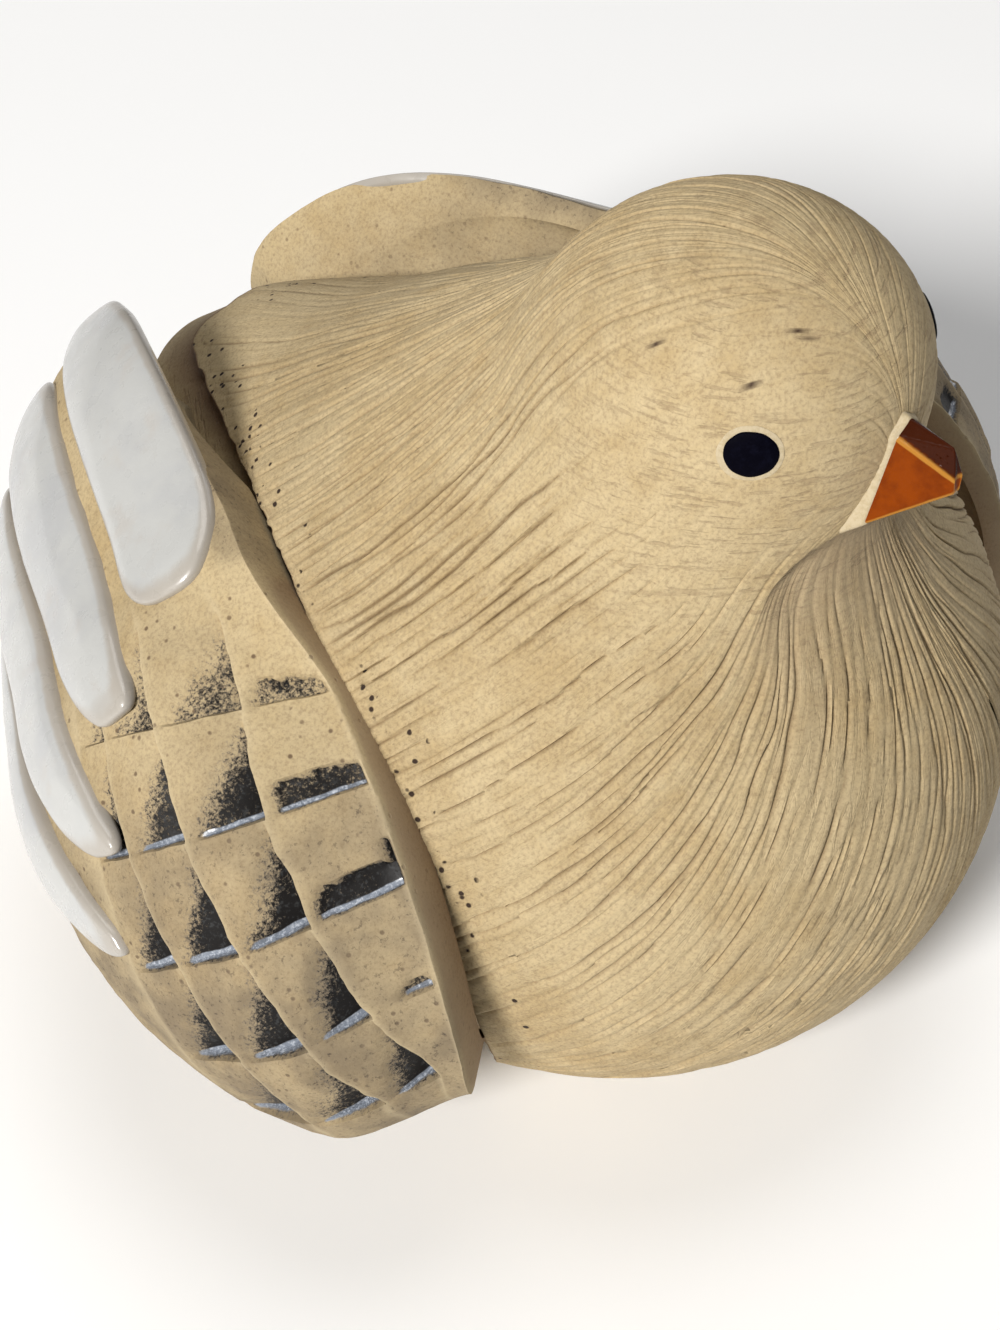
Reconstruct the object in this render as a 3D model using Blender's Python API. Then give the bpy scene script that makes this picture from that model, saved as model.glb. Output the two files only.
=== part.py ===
"""A hand-carved clay dove as one closed solid, in metres.

The beak points towards -Y, +Z is up, and the flat underside lies on Z = 0. The body is a blend of
rounded lumps, read as a radius in every direction from a point in the neck. Its mesh starts as a
globe whose pole sits at the beak, so that its rows end exactly on the edge of the combed cape. The
wings, feathers, beak and eyes are closed shells of their own, joined to the body by unions.
"""
import math

import bmesh
import bpy
import numpy as np
from mathutils import Matrix

# Driving sizes, in metres
HEIGHT = 0.0788             # from the table to the crown
GROOVE_DEPTH = 0.0028       # how far the core lies below the combed cape
GROOVE_SLOPE = 0.0030       # width of the slope between the two
WING_RIM = 0.0050           # thickness of a wing along its free upper rim
WING_ROOT = 0.0160          # how deep a wing runs into the core
CHIP_DEPTH = 0.0019         # deepest corner of a carved tile
CHIP_WALL = 0.0005          # run of the steep wall beside a chip
FEATHER_RISE = 0.0013       # how proud a glazed feather stands
FEATHER_ROOT = 0.0012       # how deep its shell reaches into the wing
BEAK_LENGTH = 0.0052        # from the forehead to the tip
BEAK_ROOT = 0.0040          # how deep the beak's shell reaches into the head
EYE_WIDTH = 0.0038
EYE_HEIGHT = 0.0033
EYE_RISE = 0.0004           # how proud the eye's bead stands
EYE_ROOT = 0.0010
TAIL_ROOT = 0.0150          # thickness of the tail where it leaves the rump
TAIL_EDGE = 0.0044          # and near its end

# Proportions, as shares of the height
BREAST = dict(centre=(0, -0.076, 0.343), radii=(0.412, 0.424, 0.410))
FLANKS = dict(centre=(0, 0.063, 0.317), radii=(0.470, 0.317, 0.305))
RUMP = dict(centre=(0, 0.254, 0.404), radii=(0.216, 0.355, 0.190))
HEAD = dict(centre=(0, -0.228, 0.857), radii=(0.154, 0.160, 0.143))
NECK_FOOT = (0, -0.051, 0.533)
NECK_TOP = (0, -0.159, 0.774)
NECK_FOOT_RADIUS = 0.254
NECK_TOP_RADIUS = 0.171
RUMP_TILT = 3.0             # degrees, tail end up
BLEND_FLANKS = 0.127
BLEND_RUMP = 0.178
BLEND_HEAD = 0.102
BLEND_NECK = 0.165
BODY_EYE = (0, -0.102, 0.635)       # the point that the body's radii are measured from
NECK_TO_SIDE = 0.50                 # about how far that point lies from the cape's edge
BEAK_AIM = 31.3                     # degrees that the globe's pole looks up from -Y

# The cape: one cut each side, square to this direction, and one across the rump
CAPE_CUT = (0.852, 0.470, -0.233)
CAPE_CUT_OFFSET = 0.149
CAPE_END = 0.470
CAPE_CORNER = 0.030
CAPE_FADE = (0.012, 0.080)          # heights between which the step grows to its full depth

# The wings: a swollen shell about a point inside the body, charted in degrees
WING_CENTRE = (0, -0.013, 0.317)
WING_RADII = (0.596, 0.533, 0.431)
WING_OUT = (0.92, -0.05, 0.39)      # the chart's middle looks this way
WING_BACK = (-0.35, 0.85, 0.25)     # and its length runs this way
TIP_FLARE = 0.114
TIP_FLARE_SPAN = (28.0, 73.0)
SHOULDER_DROP = 0.051               # how far the front of the rim dips to meet the groove
ROW_SLANT = 0.5                     # how far the tile rows lean across the chart
FIRST_ROW = 22.8
ROW_PITCH = 12.5
ROWS = 5
LAST_ROW = FIRST_ROW - ROWS * ROW_PITCH
FRONT_EDGE = -50.5                  # where the wing's plain nose ends, in front of the last row
LOWER_EDGE = -47.0
ROOT_BAND = 16.0                    # degrees below the rim over which the slab grows to its root
EDGE_ROUNDING = 0.026               # how far the skin turns in along the front and lower edges
EDGE_BAND = 11.0                    # over this many degrees of the chart
# Each line along the wing: its height in the chart, its slope and its bend
COLUMN_LINES = ((2.9, 0.27, -0.0016), (-4.2, 0.21, -0.0020), (-11.0, 0.25, -0.0015), (-15.3, 0.33, -0.0045))
RIM_PEAK = (18.0, 13.9)
RIM_BEND = (0.0066, 0.0042)         # before and behind the peak

# Each glazed feather: rows where it starts and ends, height at its start, middle and end, half width
FEATHERS = (
    dict(ends=(23.6, 68.0), line=(4.4, 4.2, -1.5), half=6.5),
    dict(ends=(10.6, 60.0), line=(-5.3, -9.6, -11.0), half=5.2),
    dict(ends=(-1.6, 51.0), line=(-13.8, -20.5, -22.0), half=5.0),
    dict(ends=(-12.0, 41.0), line=(-20.5, -30.0, -33.0), half=4.8),
)

BEAK_TOP = (0.012, 0.867)           # half width and height of the beak's upper corners
BEAK_FOOT = (0.053, 0.757)          # and of its lower ones
BEAK_TIP_HEIGHT = 0.831
BEAK_BLUNTNESS = 0.04               # size of the tip's end face against the beak's foot
EYE_AIM = (53.5, 7.5)               # degrees round from the beak and up, from the head's centre
TAIL = dict(start=0.26, end=0.690, half_width=0.150, height=0.310, drop=0.105, bow=0.04)

CLAY = (0.66, 0.53, 0.35)


def scaled(shares):
    """Turn shares of the height into metres."""
    return np.asarray(shares, dtype=float) * HEIGHT


def unit(vector):
    vector = np.asarray(vector, dtype=float)
    return vector / np.linalg.norm(vector, axis=-1, keepdims=True)


def smooth_step(start, end, value):
    share = np.clip((value - start) / (end - start), 0.0, 1.0)
    return share * share * (3.0 - 2.0 * share)


def blended(first, second, reach):
    """Smooth union of two distance fields."""
    share = np.clip(0.5 + 0.5 * (second - first) / reach, 0.0, 1.0)
    return second * (1.0 - share) + first * share - reach * share * (1.0 - share)


def egg_distance(points, egg, tilt=0.0):
    offsets = points - scaled(egg["centre"])
    if tilt:
        turn, rise = math.cos(math.radians(tilt)), math.sin(math.radians(tilt))
        offsets = offsets @ np.array([[1, 0, 0], [0, turn, -rise], [0, rise, turn]])
    radii = scaled(egg["radii"])
    outer = np.linalg.norm(offsets / radii, axis=-1)
    inner = np.linalg.norm(offsets / radii ** 2, axis=-1)
    return outer * (outer - 1.0) / np.maximum(inner, 1e-9)


def neck_distance(points):
    foot, top = scaled(NECK_FOOT), scaled(NECK_TOP)
    along = np.clip(((points - foot) @ (top - foot)) / ((top - foot) @ (top - foot)), 0.0, 1.0)
    radius = scaled(NECK_FOOT_RADIUS) + (scaled(NECK_TOP_RADIUS) - scaled(NECK_FOOT_RADIUS)) * along
    return np.linalg.norm(points - foot - along[:, None] * (top - foot), axis=-1) - radius


def body_distance(points):
    trunk = blended(egg_distance(points, BREAST), egg_distance(points, FLANKS), scaled(BLEND_FLANKS))
    trunk = blended(trunk, egg_distance(points, RUMP, RUMP_TILT), scaled(BLEND_RUMP))
    head = blended(egg_distance(points, HEAD), neck_distance(points), scaled(BLEND_HEAD))
    return blended(trunk, head, scaled(BLEND_NECK))


def skin_radius(eye, directions):
    """Distance from a point inside the body to its skin in each direction."""
    near = np.zeros(len(directions))
    far = np.full(len(directions), HEIGHT)
    for _ in range(34):
        middle = 0.5 * (near + far)
        inside = body_distance(eye + directions * middle[:, None]) < 0.0
        near = np.where(inside, middle, near)
        far = np.where(inside, far, middle)
    return 0.5 * (near + far)


def cape_margin(points):
    """Below zero on the combed cape, above zero outside its edge."""
    side = np.abs(points[:, 0]) * CAPE_CUT[0] + points[:, 1] * CAPE_CUT[1] + points[:, 2] * CAPE_CUT[2]
    side = side - scaled(CAPE_CUT_OFFSET)
    end = points[:, 1] - scaled(CAPE_END)
    return -blended(-side, -end, scaled(CAPE_CORNER))


def globe_directions(polar, around):
    """Directions on a globe whose pole looks along the beak; around = 0 runs over the crown."""
    aim = math.radians(BEAK_AIM)
    pole = np.array([0.0, -math.cos(aim), math.sin(aim)])
    crown = np.array([0.0, math.sin(aim), math.cos(aim)])
    side = np.array([1.0, 0.0, 0.0])
    ring = np.cos(around)[:, None] * crown + np.sin(around)[:, None] * side
    return np.cos(polar)[:, None] * pole + np.sin(polar)[:, None] * ring


def skin_points(polar, around):
    directions = globe_directions(polar, around)
    return scaled(BODY_EYE) + directions * skin_radius(scaled(BODY_EYE), directions)[:, None]


def cape_reach(around):
    """Polar angle at which each meridian crosses the cape's edge."""
    near = np.full(len(around), 0.3)
    far = near.copy()
    found = np.zeros(len(around), dtype=bool)
    for polar in np.linspace(0.3, math.pi - 0.05, 90):
        outside = cape_margin(skin_points(np.full(len(around), polar), around)) > 0.0
        far = np.where(found, far, polar)
        near = np.where(found | outside, near, polar)
        found |= outside
    for _ in range(20):
        middle = 0.5 * (near + far)
        outside = cape_margin(skin_points(middle, around)) > 0.0
        far = np.where(outside, middle, far)
        near = np.where(outside, near, middle)
    return 0.5 * (near + far)


def sunk(points, share):
    """Move skin points towards the body's eye by a share of the groove's depth."""
    low, high = scaled(CAPE_FADE)
    depth = GROOVE_DEPTH * share * smooth_step(low, high, points[:, 2])
    inward = unit(scaled(BODY_EYE) - points)
    return points + inward * depth[:, None]


def wing_frame():
    out = unit(WING_OUT)
    back = np.asarray(WING_BACK, dtype=float)
    back = unit(back - out * (back @ out))
    return out, back, np.cross(out, back)


def rim_height(row):
    """Chart height of the wing's upper rim at each row position."""
    before, behind = RIM_BEND
    bend = np.where(row < RIM_PEAK[0], before, behind)
    return RIM_PEAK[1] - bend * (row - RIM_PEAK[0]) ** 2


def wing_surface(row, height):
    """Directions and radii of the wing's outer skin at chart positions in degrees."""
    out, back, across = wing_frame()
    length = row - ROW_SLANT * height
    swing, lift = np.radians(length), np.radians(height)
    level = np.cos(swing)[:, None] * out + np.sin(swing)[:, None] * back
    directions = np.cos(lift)[:, None] * level + np.sin(lift)[:, None] * across
    radii = 1.0 / np.linalg.norm(directions / scaled(WING_RADII), axis=-1)
    flare = smooth_step(*TIP_FLARE_SPAN, length) * smooth_step(-60.0, -10.0, height)
    radii = radii + scaled(TIP_FLARE) * flare
    below_rim = rim_height(row) - height
    dip = smooth_step(15.0, 0.0, below_rim) * smooth_step(30.0, 8.0, row)
    to_edge = np.minimum(height - LOWER_EDGE, row - FRONT_EDGE) / EDGE_BAND
    turn_in = 1.0 - np.sqrt(1.0 - (1.0 - np.clip(to_edge, 0.0, 1.0)) ** 2)
    return directions, radii - scaled(SHOULDER_DROP) * dip - scaled(EDGE_ROUNDING) * turn_in


def wing_points(row, height, rise=0.0):
    directions, radii = wing_surface(row, height)
    return scaled(WING_CENTRE) + directions * (radii + rise)[:, None]


def rear_end(height):
    """Row position of the wing's rounded rear edge at each chart height."""
    return 69.0 - 0.020 * np.maximum(0.0, -2.0 - height) ** 2 - 0.10 * np.maximum(0.0, height + 2.0) ** 2


def column_height(line, row):
    """Chart height of one line along the wing: 0 is the rim, the last is the lower edge."""
    if line == 0:
        return rim_height(row)
    if line > len(COLUMN_LINES):
        return np.full_like(row, LOWER_EDGE)
    level, slope, bend = COLUMN_LINES[line - 1]
    tiled = np.clip(row, LAST_ROW, FIRST_ROW)
    height = level + slope * tiled + bend * tiled ** 2
    rim_there = rim_height(tiled)
    share = (rim_there - height) / (rim_there - LOWER_EDGE)
    return rim_height(row) - share * (rim_height(row) - LOWER_EDGE)


def chart_height(column, row):
    """Chart height between the lines along the wing, for a fractional column number."""
    lines = np.stack([column_height(line, row) for line in range(len(COLUMN_LINES) + 2)])
    lower = np.minimum(np.floor(column).astype(int), len(COLUMN_LINES))
    pick = np.arange(len(row))
    return lines[lower, pick] + (lines[lower + 1, pick] - lines[lower, pick]) * (column - lower)


def chip_depth(column, row):
    """Depth of the chip carving: it falls towards the front inner corner of each tile."""
    tile_row = (FIRST_ROW - row) / ROW_PITCH
    forward = tile_row - np.floor(tile_row)
    inward = np.ceil(column) - column
    tiled = (tile_row >= 0.0) & (tile_row < ROWS - 0.001) & (column > 0.0) & (column <= len(COLUMN_LINES))
    return np.where(tiled, CHIP_DEPTH * np.maximum(0.0, forward + inward - 1.0), 0.0)


def add_material(thing):
    material = bpy.data.materials.new("bisque_clay")
    material.use_nodes = True
    shader = material.node_tree.nodes["Principled BSDF"]
    shader.inputs["Base Color"].default_value = (*CLAY, 1.0)
    shader.inputs["Roughness"].default_value = 0.85
    shader.inputs["Metallic"].default_value = 0.0
    thing.data.materials.append(material)


def to_object(mesh_data, name):
    bmesh.ops.recalc_face_normals(mesh_data, faces=mesh_data.faces)
    mesh = bpy.data.meshes.new(name)
    mesh_data.to_mesh(mesh)
    mesh_data.free()
    thing = bpy.data.objects.new(name, mesh)
    bpy.context.scene.collection.objects.link(thing)
    return thing


def place(mesh_data, positions):
    for vertex, position in zip(mesh_data.verts, positions):
        vertex.co = position


def coordinates(mesh_data):
    return np.array([vertex.co[:] for vertex in mesh_data.verts])


def add_mirror_image(mesh_data):
    everything = mesh_data.verts[:] + mesh_data.edges[:] + mesh_data.faces[:]
    bmesh.ops.mirror(mesh_data, geom=everything, axis="X", merge_dist=-1.0)


def make_body():
    """The combed cape with its step down to the plain core, cut flat underneath."""
    columns, cape_rows, core_rows = 56, 17, 8
    rows = cape_rows + 2 + core_rows
    mesh_data = bmesh.new()
    bmesh.ops.create_uvsphere(mesh_data, u_segments=columns, v_segments=rows, radius=1.0)
    globe = coordinates(mesh_data)
    row = np.rint(np.arccos(np.clip(globe[:, 2], -1.0, 1.0)) / math.pi * rows)
    around = np.arctan2(globe[:, 1], globe[:, 0])
    reach = cape_reach(around)
    slope_end = reach + GROOVE_SLOPE / scaled(NECK_TO_SIDE)
    polar = np.where(row <= cape_rows, reach * row / cape_rows, slope_end)
    beyond = np.clip((row - cape_rows - 1) / (rows - cape_rows - 1), 0.0, 1.0)
    polar = np.where(row > cape_rows + 1, slope_end + (math.pi - slope_end) * beyond, polar)
    skin = skin_points(polar, around)
    place(mesh_data, sunk(skin, np.where(row > cape_rows, 1.0, 0.0)))
    cut = bmesh.ops.bisect_plane(
        mesh_data, geom=mesh_data.verts[:] + mesh_data.edges[:] + mesh_data.faces[:],
        plane_co=(0, 0, 0), plane_no=(0, 0, 1), clear_inner=True)
    rim = [piece for piece in cut["geom_cut"] if isinstance(piece, bmesh.types.BMEdge)]
    bmesh.ops.triangle_fill(mesh_data, edges=rim, use_beauty=True)
    return to_object(mesh_data, "dove")


def make_wings():
    """Both wings: a carved outer skin over a thick slab that thins towards its free rim."""
    wall = math.degrees(CHIP_WALL / scaled(WING_RADII[1]))
    nose = LAST_ROW - FRONT_EDGE
    row_lines = [FRONT_EDGE, FRONT_EDGE + 0.12 * nose, FRONT_EDGE + 0.4 * nose, LAST_ROW]
    for tile in range(ROWS, 0, -1):
        front = FIRST_ROW - tile * ROW_PITCH
        row_lines += [front + wall, front + 0.5 * ROW_PITCH, front + ROW_PITCH]
    rear_shares = np.linspace(0.0, 1.0, 8)[1:]
    column_lines = [0.0]
    for tile in range(len(COLUMN_LINES)):
        column_lines += [tile + 0.07, tile + 0.5, tile + 1.0]
    column_lines += list(len(COLUMN_LINES) + 1.0 - np.array([0.8, 0.6, 0.42, 0.26, 0.13, 0.05, 0.0]))

    mesh_data = bmesh.new()
    across, along = len(column_lines) - 1, len(row_lines) + len(rear_shares) - 1
    bmesh.ops.create_grid(mesh_data, x_segments=across, y_segments=along, size=1.0)
    inner_side = bmesh.ops.extrude_face_region(mesh_data, geom=mesh_data.faces[:], use_keep_orig=True)
    inner_corners = [piece for piece in inner_side["geom"] if isinstance(piece, bmesh.types.BMVert)]
    bmesh.ops.translate(mesh_data, verts=inner_corners, vec=(0.0, 0.0, -1.0))

    grid = coordinates(mesh_data)
    column = np.array(column_lines)[np.rint((grid[:, 0] + 1.0) * 0.5 * across).astype(int)]
    step = np.rint((grid[:, 1] + 1.0) * 0.5 * along).astype(int)
    front_rows = np.array(row_lines + [FIRST_ROW] * len(rear_shares))[step]
    rear_share = np.array([0.0] * len(row_lines) + list(rear_shares))[step]
    height_there = chart_height(column, np.full_like(column, FIRST_ROW))
    row = front_rows + rear_share * (rear_end(height_there) - FIRST_ROW)
    height = chart_height(column, row)
    below_rim = np.maximum(rim_height(row) - height, 0.0)
    thickness = WING_RIM + (WING_ROOT - WING_RIM) * smooth_step(0.0, ROOT_BAND, below_rim)
    depth = np.where(grid[:, 2] < -0.5, thickness, chip_depth(column, row))
    place(mesh_data, wing_points(row, height, -depth))
    add_mirror_image(mesh_data)
    return to_object(mesh_data, "wings")


def feather_line(feather, share):
    """Chart height of a feather's middle: a parabola through its three given heights."""
    front, middle, rear = feather["line"]
    bend = 2.0 * (front + rear - 2.0 * middle)
    return front + (rear - front - bend) * share + bend * share ** 2


def make_feathers():
    """The raised glazed feathers: pillows that follow the wing's skin."""
    around, rings = 18, 8
    mesh_data = bmesh.new()
    for feather in FEATHERS:
        ball = bmesh.ops.create_uvsphere(mesh_data, u_segments=around, v_segments=rings, radius=1.0)
        fresh = ball["verts"]
        globe = np.array([vertex.co[:] for vertex in fresh])
        spread = np.linalg.norm(globe[:, :2], axis=1)
        angle = np.arctan2(globe[:, 1], globe[:, 0])
        along = spread * np.sign(np.cos(angle)) * np.abs(np.cos(angle)) ** 0.6
        across = spread * np.sign(np.sin(angle)) * np.abs(np.sin(angle)) ** 0.6
        start, end = feather["ends"]
        row = start + (end - start) * 0.5 * (along + 1.0)
        height = feather_line(feather, 0.5 * (along + 1.0)) + across * feather["half"]
        rise = np.where(globe[:, 2] > 0.0, FEATHER_RISE, FEATHER_ROOT) * np.sign(globe[:, 2])
        rise = rise * np.abs(globe[:, 2]) ** 0.5
        for vertex, position in zip(fresh, wing_points(row, height, rise)):
            vertex.co = position
    add_mirror_image(mesh_data)
    return to_object(mesh_data, "feathers")


def make_beak():
    """A short wedge: narrow ridge above, broad below, its foot sunk into the head."""
    top_half, top = scaled(BEAK_TOP)
    foot_half, foot = scaled(BEAK_FOOT)
    head_centre, head_radii = scaled(HEAD["centre"]), scaled(HEAD["radii"])
    face = head_centre[1] - head_radii[1]
    mesh_data = bmesh.new()
    bmesh.ops.create_cube(mesh_data, size=2.0)
    corners = coordinates(mesh_data)
    half = np.where(corners[:, 2] > 0, top_half, foot_half)
    height = np.where(corners[:, 2] > 0, top, foot)
    tip = np.array([0.0, face - BEAK_LENGTH, scaled(BEAK_TIP_HEIGHT)])
    rear = np.stack([corners[:, 0] * half, np.full(len(corners), face + BEAK_ROOT), height], axis=1)
    front = tip + (rear - tip) * BEAK_BLUNTNESS
    place(mesh_data, np.where(corners[:, 1:2] > 0, rear, front))
    return to_object(mesh_data, "beak")


def make_eyes():
    """A shallow bead on each side of the head."""
    turn, lift = (math.radians(angle) for angle in EYE_AIM)
    aim = np.array([math.sin(turn) * math.cos(lift), -math.cos(turn) * math.cos(lift), math.sin(lift)])
    mesh_data = bmesh.new()
    bmesh.ops.create_uvsphere(mesh_data, u_segments=14, v_segments=8, radius=1.0)
    globe = coordinates(mesh_data)
    centre = scaled(HEAD["centre"])
    level = unit(np.cross((0.0, 0.0, 1.0), aim))
    upright = np.cross(aim, level)
    offsets = globe[:, :1] * level * EYE_WIDTH / 2 + globe[:, 1:2] * upright * EYE_HEIGHT / 2
    directions = unit(aim * scaled(HEAD["radii"][0]) + offsets)
    outer = centre + directions * skin_radius(centre, directions)[:, None]
    rise = np.where(globe[:, 2] > 0.0, EYE_RISE, EYE_ROOT) * globe[:, 2]
    place(mesh_data, outer + directions * rise[:, None])
    add_mirror_image(mesh_data)
    return to_object(mesh_data, "eyes")


def make_tail():
    """A short plain tail, low between the wings."""
    start, end = scaled(TAIL["start"]), scaled(TAIL["end"])
    mesh_data = bmesh.new()
    sides = 16
    half_side = Matrix.Rotation(math.pi / sides, 3, "Z")
    bmesh.ops.create_uvsphere(mesh_data, u_segments=sides, v_segments=10, radius=1.0)
    bmesh.ops.rotate(mesh_data, verts=mesh_data.verts, cent=(0, 0, 0), matrix=half_side)
    globe = coordinates(mesh_data)
    spread = np.linalg.norm(globe[:, :2], axis=1)
    angle = np.arctan2(globe[:, 0], globe[:, 1])
    reach = 0.5 * (spread * np.sign(np.cos(angle)) * np.abs(np.cos(angle)) ** 0.6 + 1.0)
    across = spread * np.sign(np.sin(angle)) * np.abs(np.sin(angle)) ** 0.6
    width = scaled(TAIL["half_width"]) * (0.6 + 0.4 * reach)
    thickness = (TAIL_ROOT + (TAIL_EDGE - TAIL_ROOT) * reach) / 2
    upward = np.sign(globe[:, 2]) * np.abs(globe[:, 2]) ** 0.6
    place(mesh_data, np.stack([
        across * width,
        start + (end - start) * reach - scaled(TAIL["bow"]) * across ** 2 * reach,
        scaled(TAIL["height"]) + thickness * upward - scaled(TAIL["drop"]) * reach,
    ], axis=1))
    return to_object(mesh_data, "tail")


def unite(body, part):
    """Join one closed shell to the body and keep it only as a guide."""
    part.hide_render = True
    part.display_type = "WIRE"
    union = body.modifiers.new(part.name, "BOOLEAN")
    union.operation = "UNION"
    union.solver = "EXACT"
    union.object = part


def main():
    for thing in list(bpy.data.objects):
        bpy.data.objects.remove(thing, do_unlink=True)
    dove = make_body()
    add_material(dove)
    for make in (make_tail, make_wings, make_feathers, make_beak, make_eyes):
        unite(dove, make())


main()
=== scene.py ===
"""Looks of the hand-carved clay dove: combed body, chip-carved wings, glazed feathers, beak and eyes.

Laid out as a Blender add-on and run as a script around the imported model. Lengths are in metres,
and proportions are shares of the dove's height. -Y is the way the beak points, +Z is up.
"""
import math

import bmesh
import bpy
import numpy as np
from mathutils import Matrix, Vector


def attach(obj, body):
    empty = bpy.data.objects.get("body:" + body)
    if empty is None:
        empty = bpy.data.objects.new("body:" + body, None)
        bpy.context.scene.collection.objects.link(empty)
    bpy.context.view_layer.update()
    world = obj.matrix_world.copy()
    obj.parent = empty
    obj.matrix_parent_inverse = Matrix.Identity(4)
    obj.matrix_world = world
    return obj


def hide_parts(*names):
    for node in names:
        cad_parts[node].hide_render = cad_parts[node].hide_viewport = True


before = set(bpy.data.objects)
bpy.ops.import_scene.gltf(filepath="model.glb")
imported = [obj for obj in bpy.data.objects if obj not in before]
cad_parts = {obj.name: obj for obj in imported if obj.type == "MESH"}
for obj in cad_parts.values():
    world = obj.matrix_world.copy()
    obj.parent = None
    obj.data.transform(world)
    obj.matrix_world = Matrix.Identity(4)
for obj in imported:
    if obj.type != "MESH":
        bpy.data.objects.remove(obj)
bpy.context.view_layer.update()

bl_info = {
    "name": "Carved clay dove",
    "version": (1, 0, 0),
    "blender": (4, 5, 0),
    "location": "View3D > Sidebar > Dove",
    "description": "Builds a hand-carved clay dove with combed body and glazed feathers",
    "category": "Add Mesh",
}

MM = 0.001

# Proportions of the body, as shares of the height
BREAST = dict(centre=(0, -0.076, 0.343), radii=(0.412, 0.424, 0.410))
FLANKS = dict(centre=(0, 0.063, 0.317), radii=(0.470, 0.317, 0.305))
RUMP = dict(centre=(0, 0.254, 0.404), radii=(0.216, 0.355, 0.190))
HEAD = dict(centre=(0, -0.228, 0.857), radii=(0.154, 0.160, 0.143))
NECK_FOOT = (0, -0.051, 0.533)
NECK_TOP = (0, -0.159, 0.774)
NECK_FOOT_RADIUS = 0.254
NECK_TOP_RADIUS = 0.171
RUMP_TILT = 3.0
BLEND_FLANKS = 0.127
BLEND_RUMP = 0.178
BLEND_HEAD = 0.102
BLEND_NECK = 0.165
BODY_EYE = (0, -0.102, 0.635)       # the point that the body's radii are measured from
BEAK_AIM = 31.3                     # degrees that the globe's pole looks up from -Y

# The combed cape's edge: one cut each side and one across the rump
CAPE_CUT = (0.852, 0.470, -0.233)
CAPE_CUT_OFFSET = 0.149
CAPE_END = 0.470
CAPE_CORNER = 0.030
CAPE_FADE = (0.012, 0.080)
# How far the comb strokes lean off the meridians at each angle around, on the body and by the face
STROKE_LEAN = (
    (-180, 0.55), (-170, 0.50), (-155, 0.27), (-145, 0.08), (-125, 0.12), (-115, 0.08), (-105, -0.08),
    (-95, -0.28), (-85, -0.46), (-75, -0.65), (-65, -0.82), (-55, -0.95), (-45, -1.00), (-35, -0.90),
    (-20, -0.62), (0, -0.26), (15, 0.0), (35, 0.45), (60, 0.85), (75, 0.65), (85, 0.46), (95, 0.28),
    (105, 0.08), (115, -0.08), (125, -0.12), (145, -0.10), (155, -0.06), (165, 0.20), (172, 0.40))
FACE_LEAN = (
    (-180, 0.3), (-165, -0.3), (-149, -0.8), (-120, -0.9), (-105, -1.3), (-93, -2.0), (-80, -2.2),
    (-65, -2.1), (-45, -1.7), (-30, -1.5), (-15, -1.7), (-3, 0.0), (13, 1.1), (30, 0.9), (60, 1.6),
    (90, 2.0), (120, 0.9), (150, 0.8))
FACE_SPAN = (26.0, 50.0)            # degrees from the beak where the face's lean gives way to the body's
LEAN_START = 95                     # degrees from the beak where the strokes are evenly spaced
# Lengths over which a stroke's place, its strength and last its width wander
STROKE_WAVES = (11 * MM, 3.5 * MM, 1.7 * MM, 4 * MM, 14 * MM, 5 * MM, 9 * MM)
# On the face the strokes keep only a share of their depth, about this centre
FACE_CENTRE = (0.0, -0.33, 0.86)
FACE_STRETCH = (0.6, 1.0, 1.0)
FACE_FADE = (7.0 * MM, 23.0 * MM)
FACE_STROKES = 0.16
# Width of the step below the edge and how far down it each row of the mesh lies
STEP_PROFILE = ((0.10, 0.05), (0.28, 0.30), (0.75, 0.84), (1.00, 0.97), (1.40, 1.00))

# The wings' chart, in degrees about a point inside the body
WING_CENTRE = (0, -0.013, 0.317)
WING_RADII = (0.596, 0.533, 0.431)
WING_OUT = (0.92, -0.05, 0.39)
WING_BACK = (-0.35, 0.85, 0.25)
TIP_FLARE = 0.114
TIP_FLARE_SPAN = (28.0, 73.0)
TIP_FLARE_HEIGHTS = (-60.0, -10.0)
SHOULDER_DROP = 0.051
SHOULDER_ROWS = (30.0, 8.0)
SHOULDER_BAND = (15.0, 0.0)         # how far below the rim the shoulder's drop fades in
ROW_SLANT = 0.5
FIRST_ROW = 22.8
ROW_PITCH = 12.5
ROWS = 5
LAST_ROW = FIRST_ROW - ROWS * ROW_PITCH
FRONT_EDGE = -50.5
LOWER_EDGE = -47.0
ROOT_BAND = 16.0
EDGE_ROUNDING = 0.026
EDGE_BAND = 11.0
COLUMN_LINES = ((2.9, 0.27, -0.0016), (-4.2, 0.21, -0.0020), (-11.0, 0.25, -0.0015), (-15.3, 0.33, -0.0045))
RIM_PEAK = (18.0, 13.9)
RIM_BEND = (0.0066, 0.0042)
LEFT_RIM_BEND = (0.0066, 0.0050)    # the left wing's rim falls faster behind
REAR_EDGE = (69.0, -2.0)            # a wing's furthest row, and the height at which it lies
REAR_BEND = (0.020, 0.10)           # how its rear edge falls back below and above that height
WALL_SHARE = 0.045                  # run of a chip's wall, as a share of its tile
# Strength of the glaze in each chip: one line for each row from the feathers forward
CHIP_GLAZE = (
    (0.36, 0.32, 0.36, 0.38),
    (0.75, 0.78, 0.72, 0.66),
    (0.95, 0.85, 1.00, 0.90),
    (0.60, 0.90, 0.85, 0.80),
    (0.00, 0.90, 0.60, 0.55),
)

# Beside the cape: where each row's strip starts along its tile, and its two ends across it
STRIPS = ((0.82, 0.10, 0.90), (0.77, 0.08, 0.92), (0.75, 0.10, 0.95), (0.90, 0.42, 0.86), (0.50, 0.05, 0.95))
POOLS_AND_HIGHLIGHTS = (0.50, 0.90, 1.0, 1.0, 1.0)  # how much glaze has pooled in each row, and how strong its painted highlight is
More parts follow.
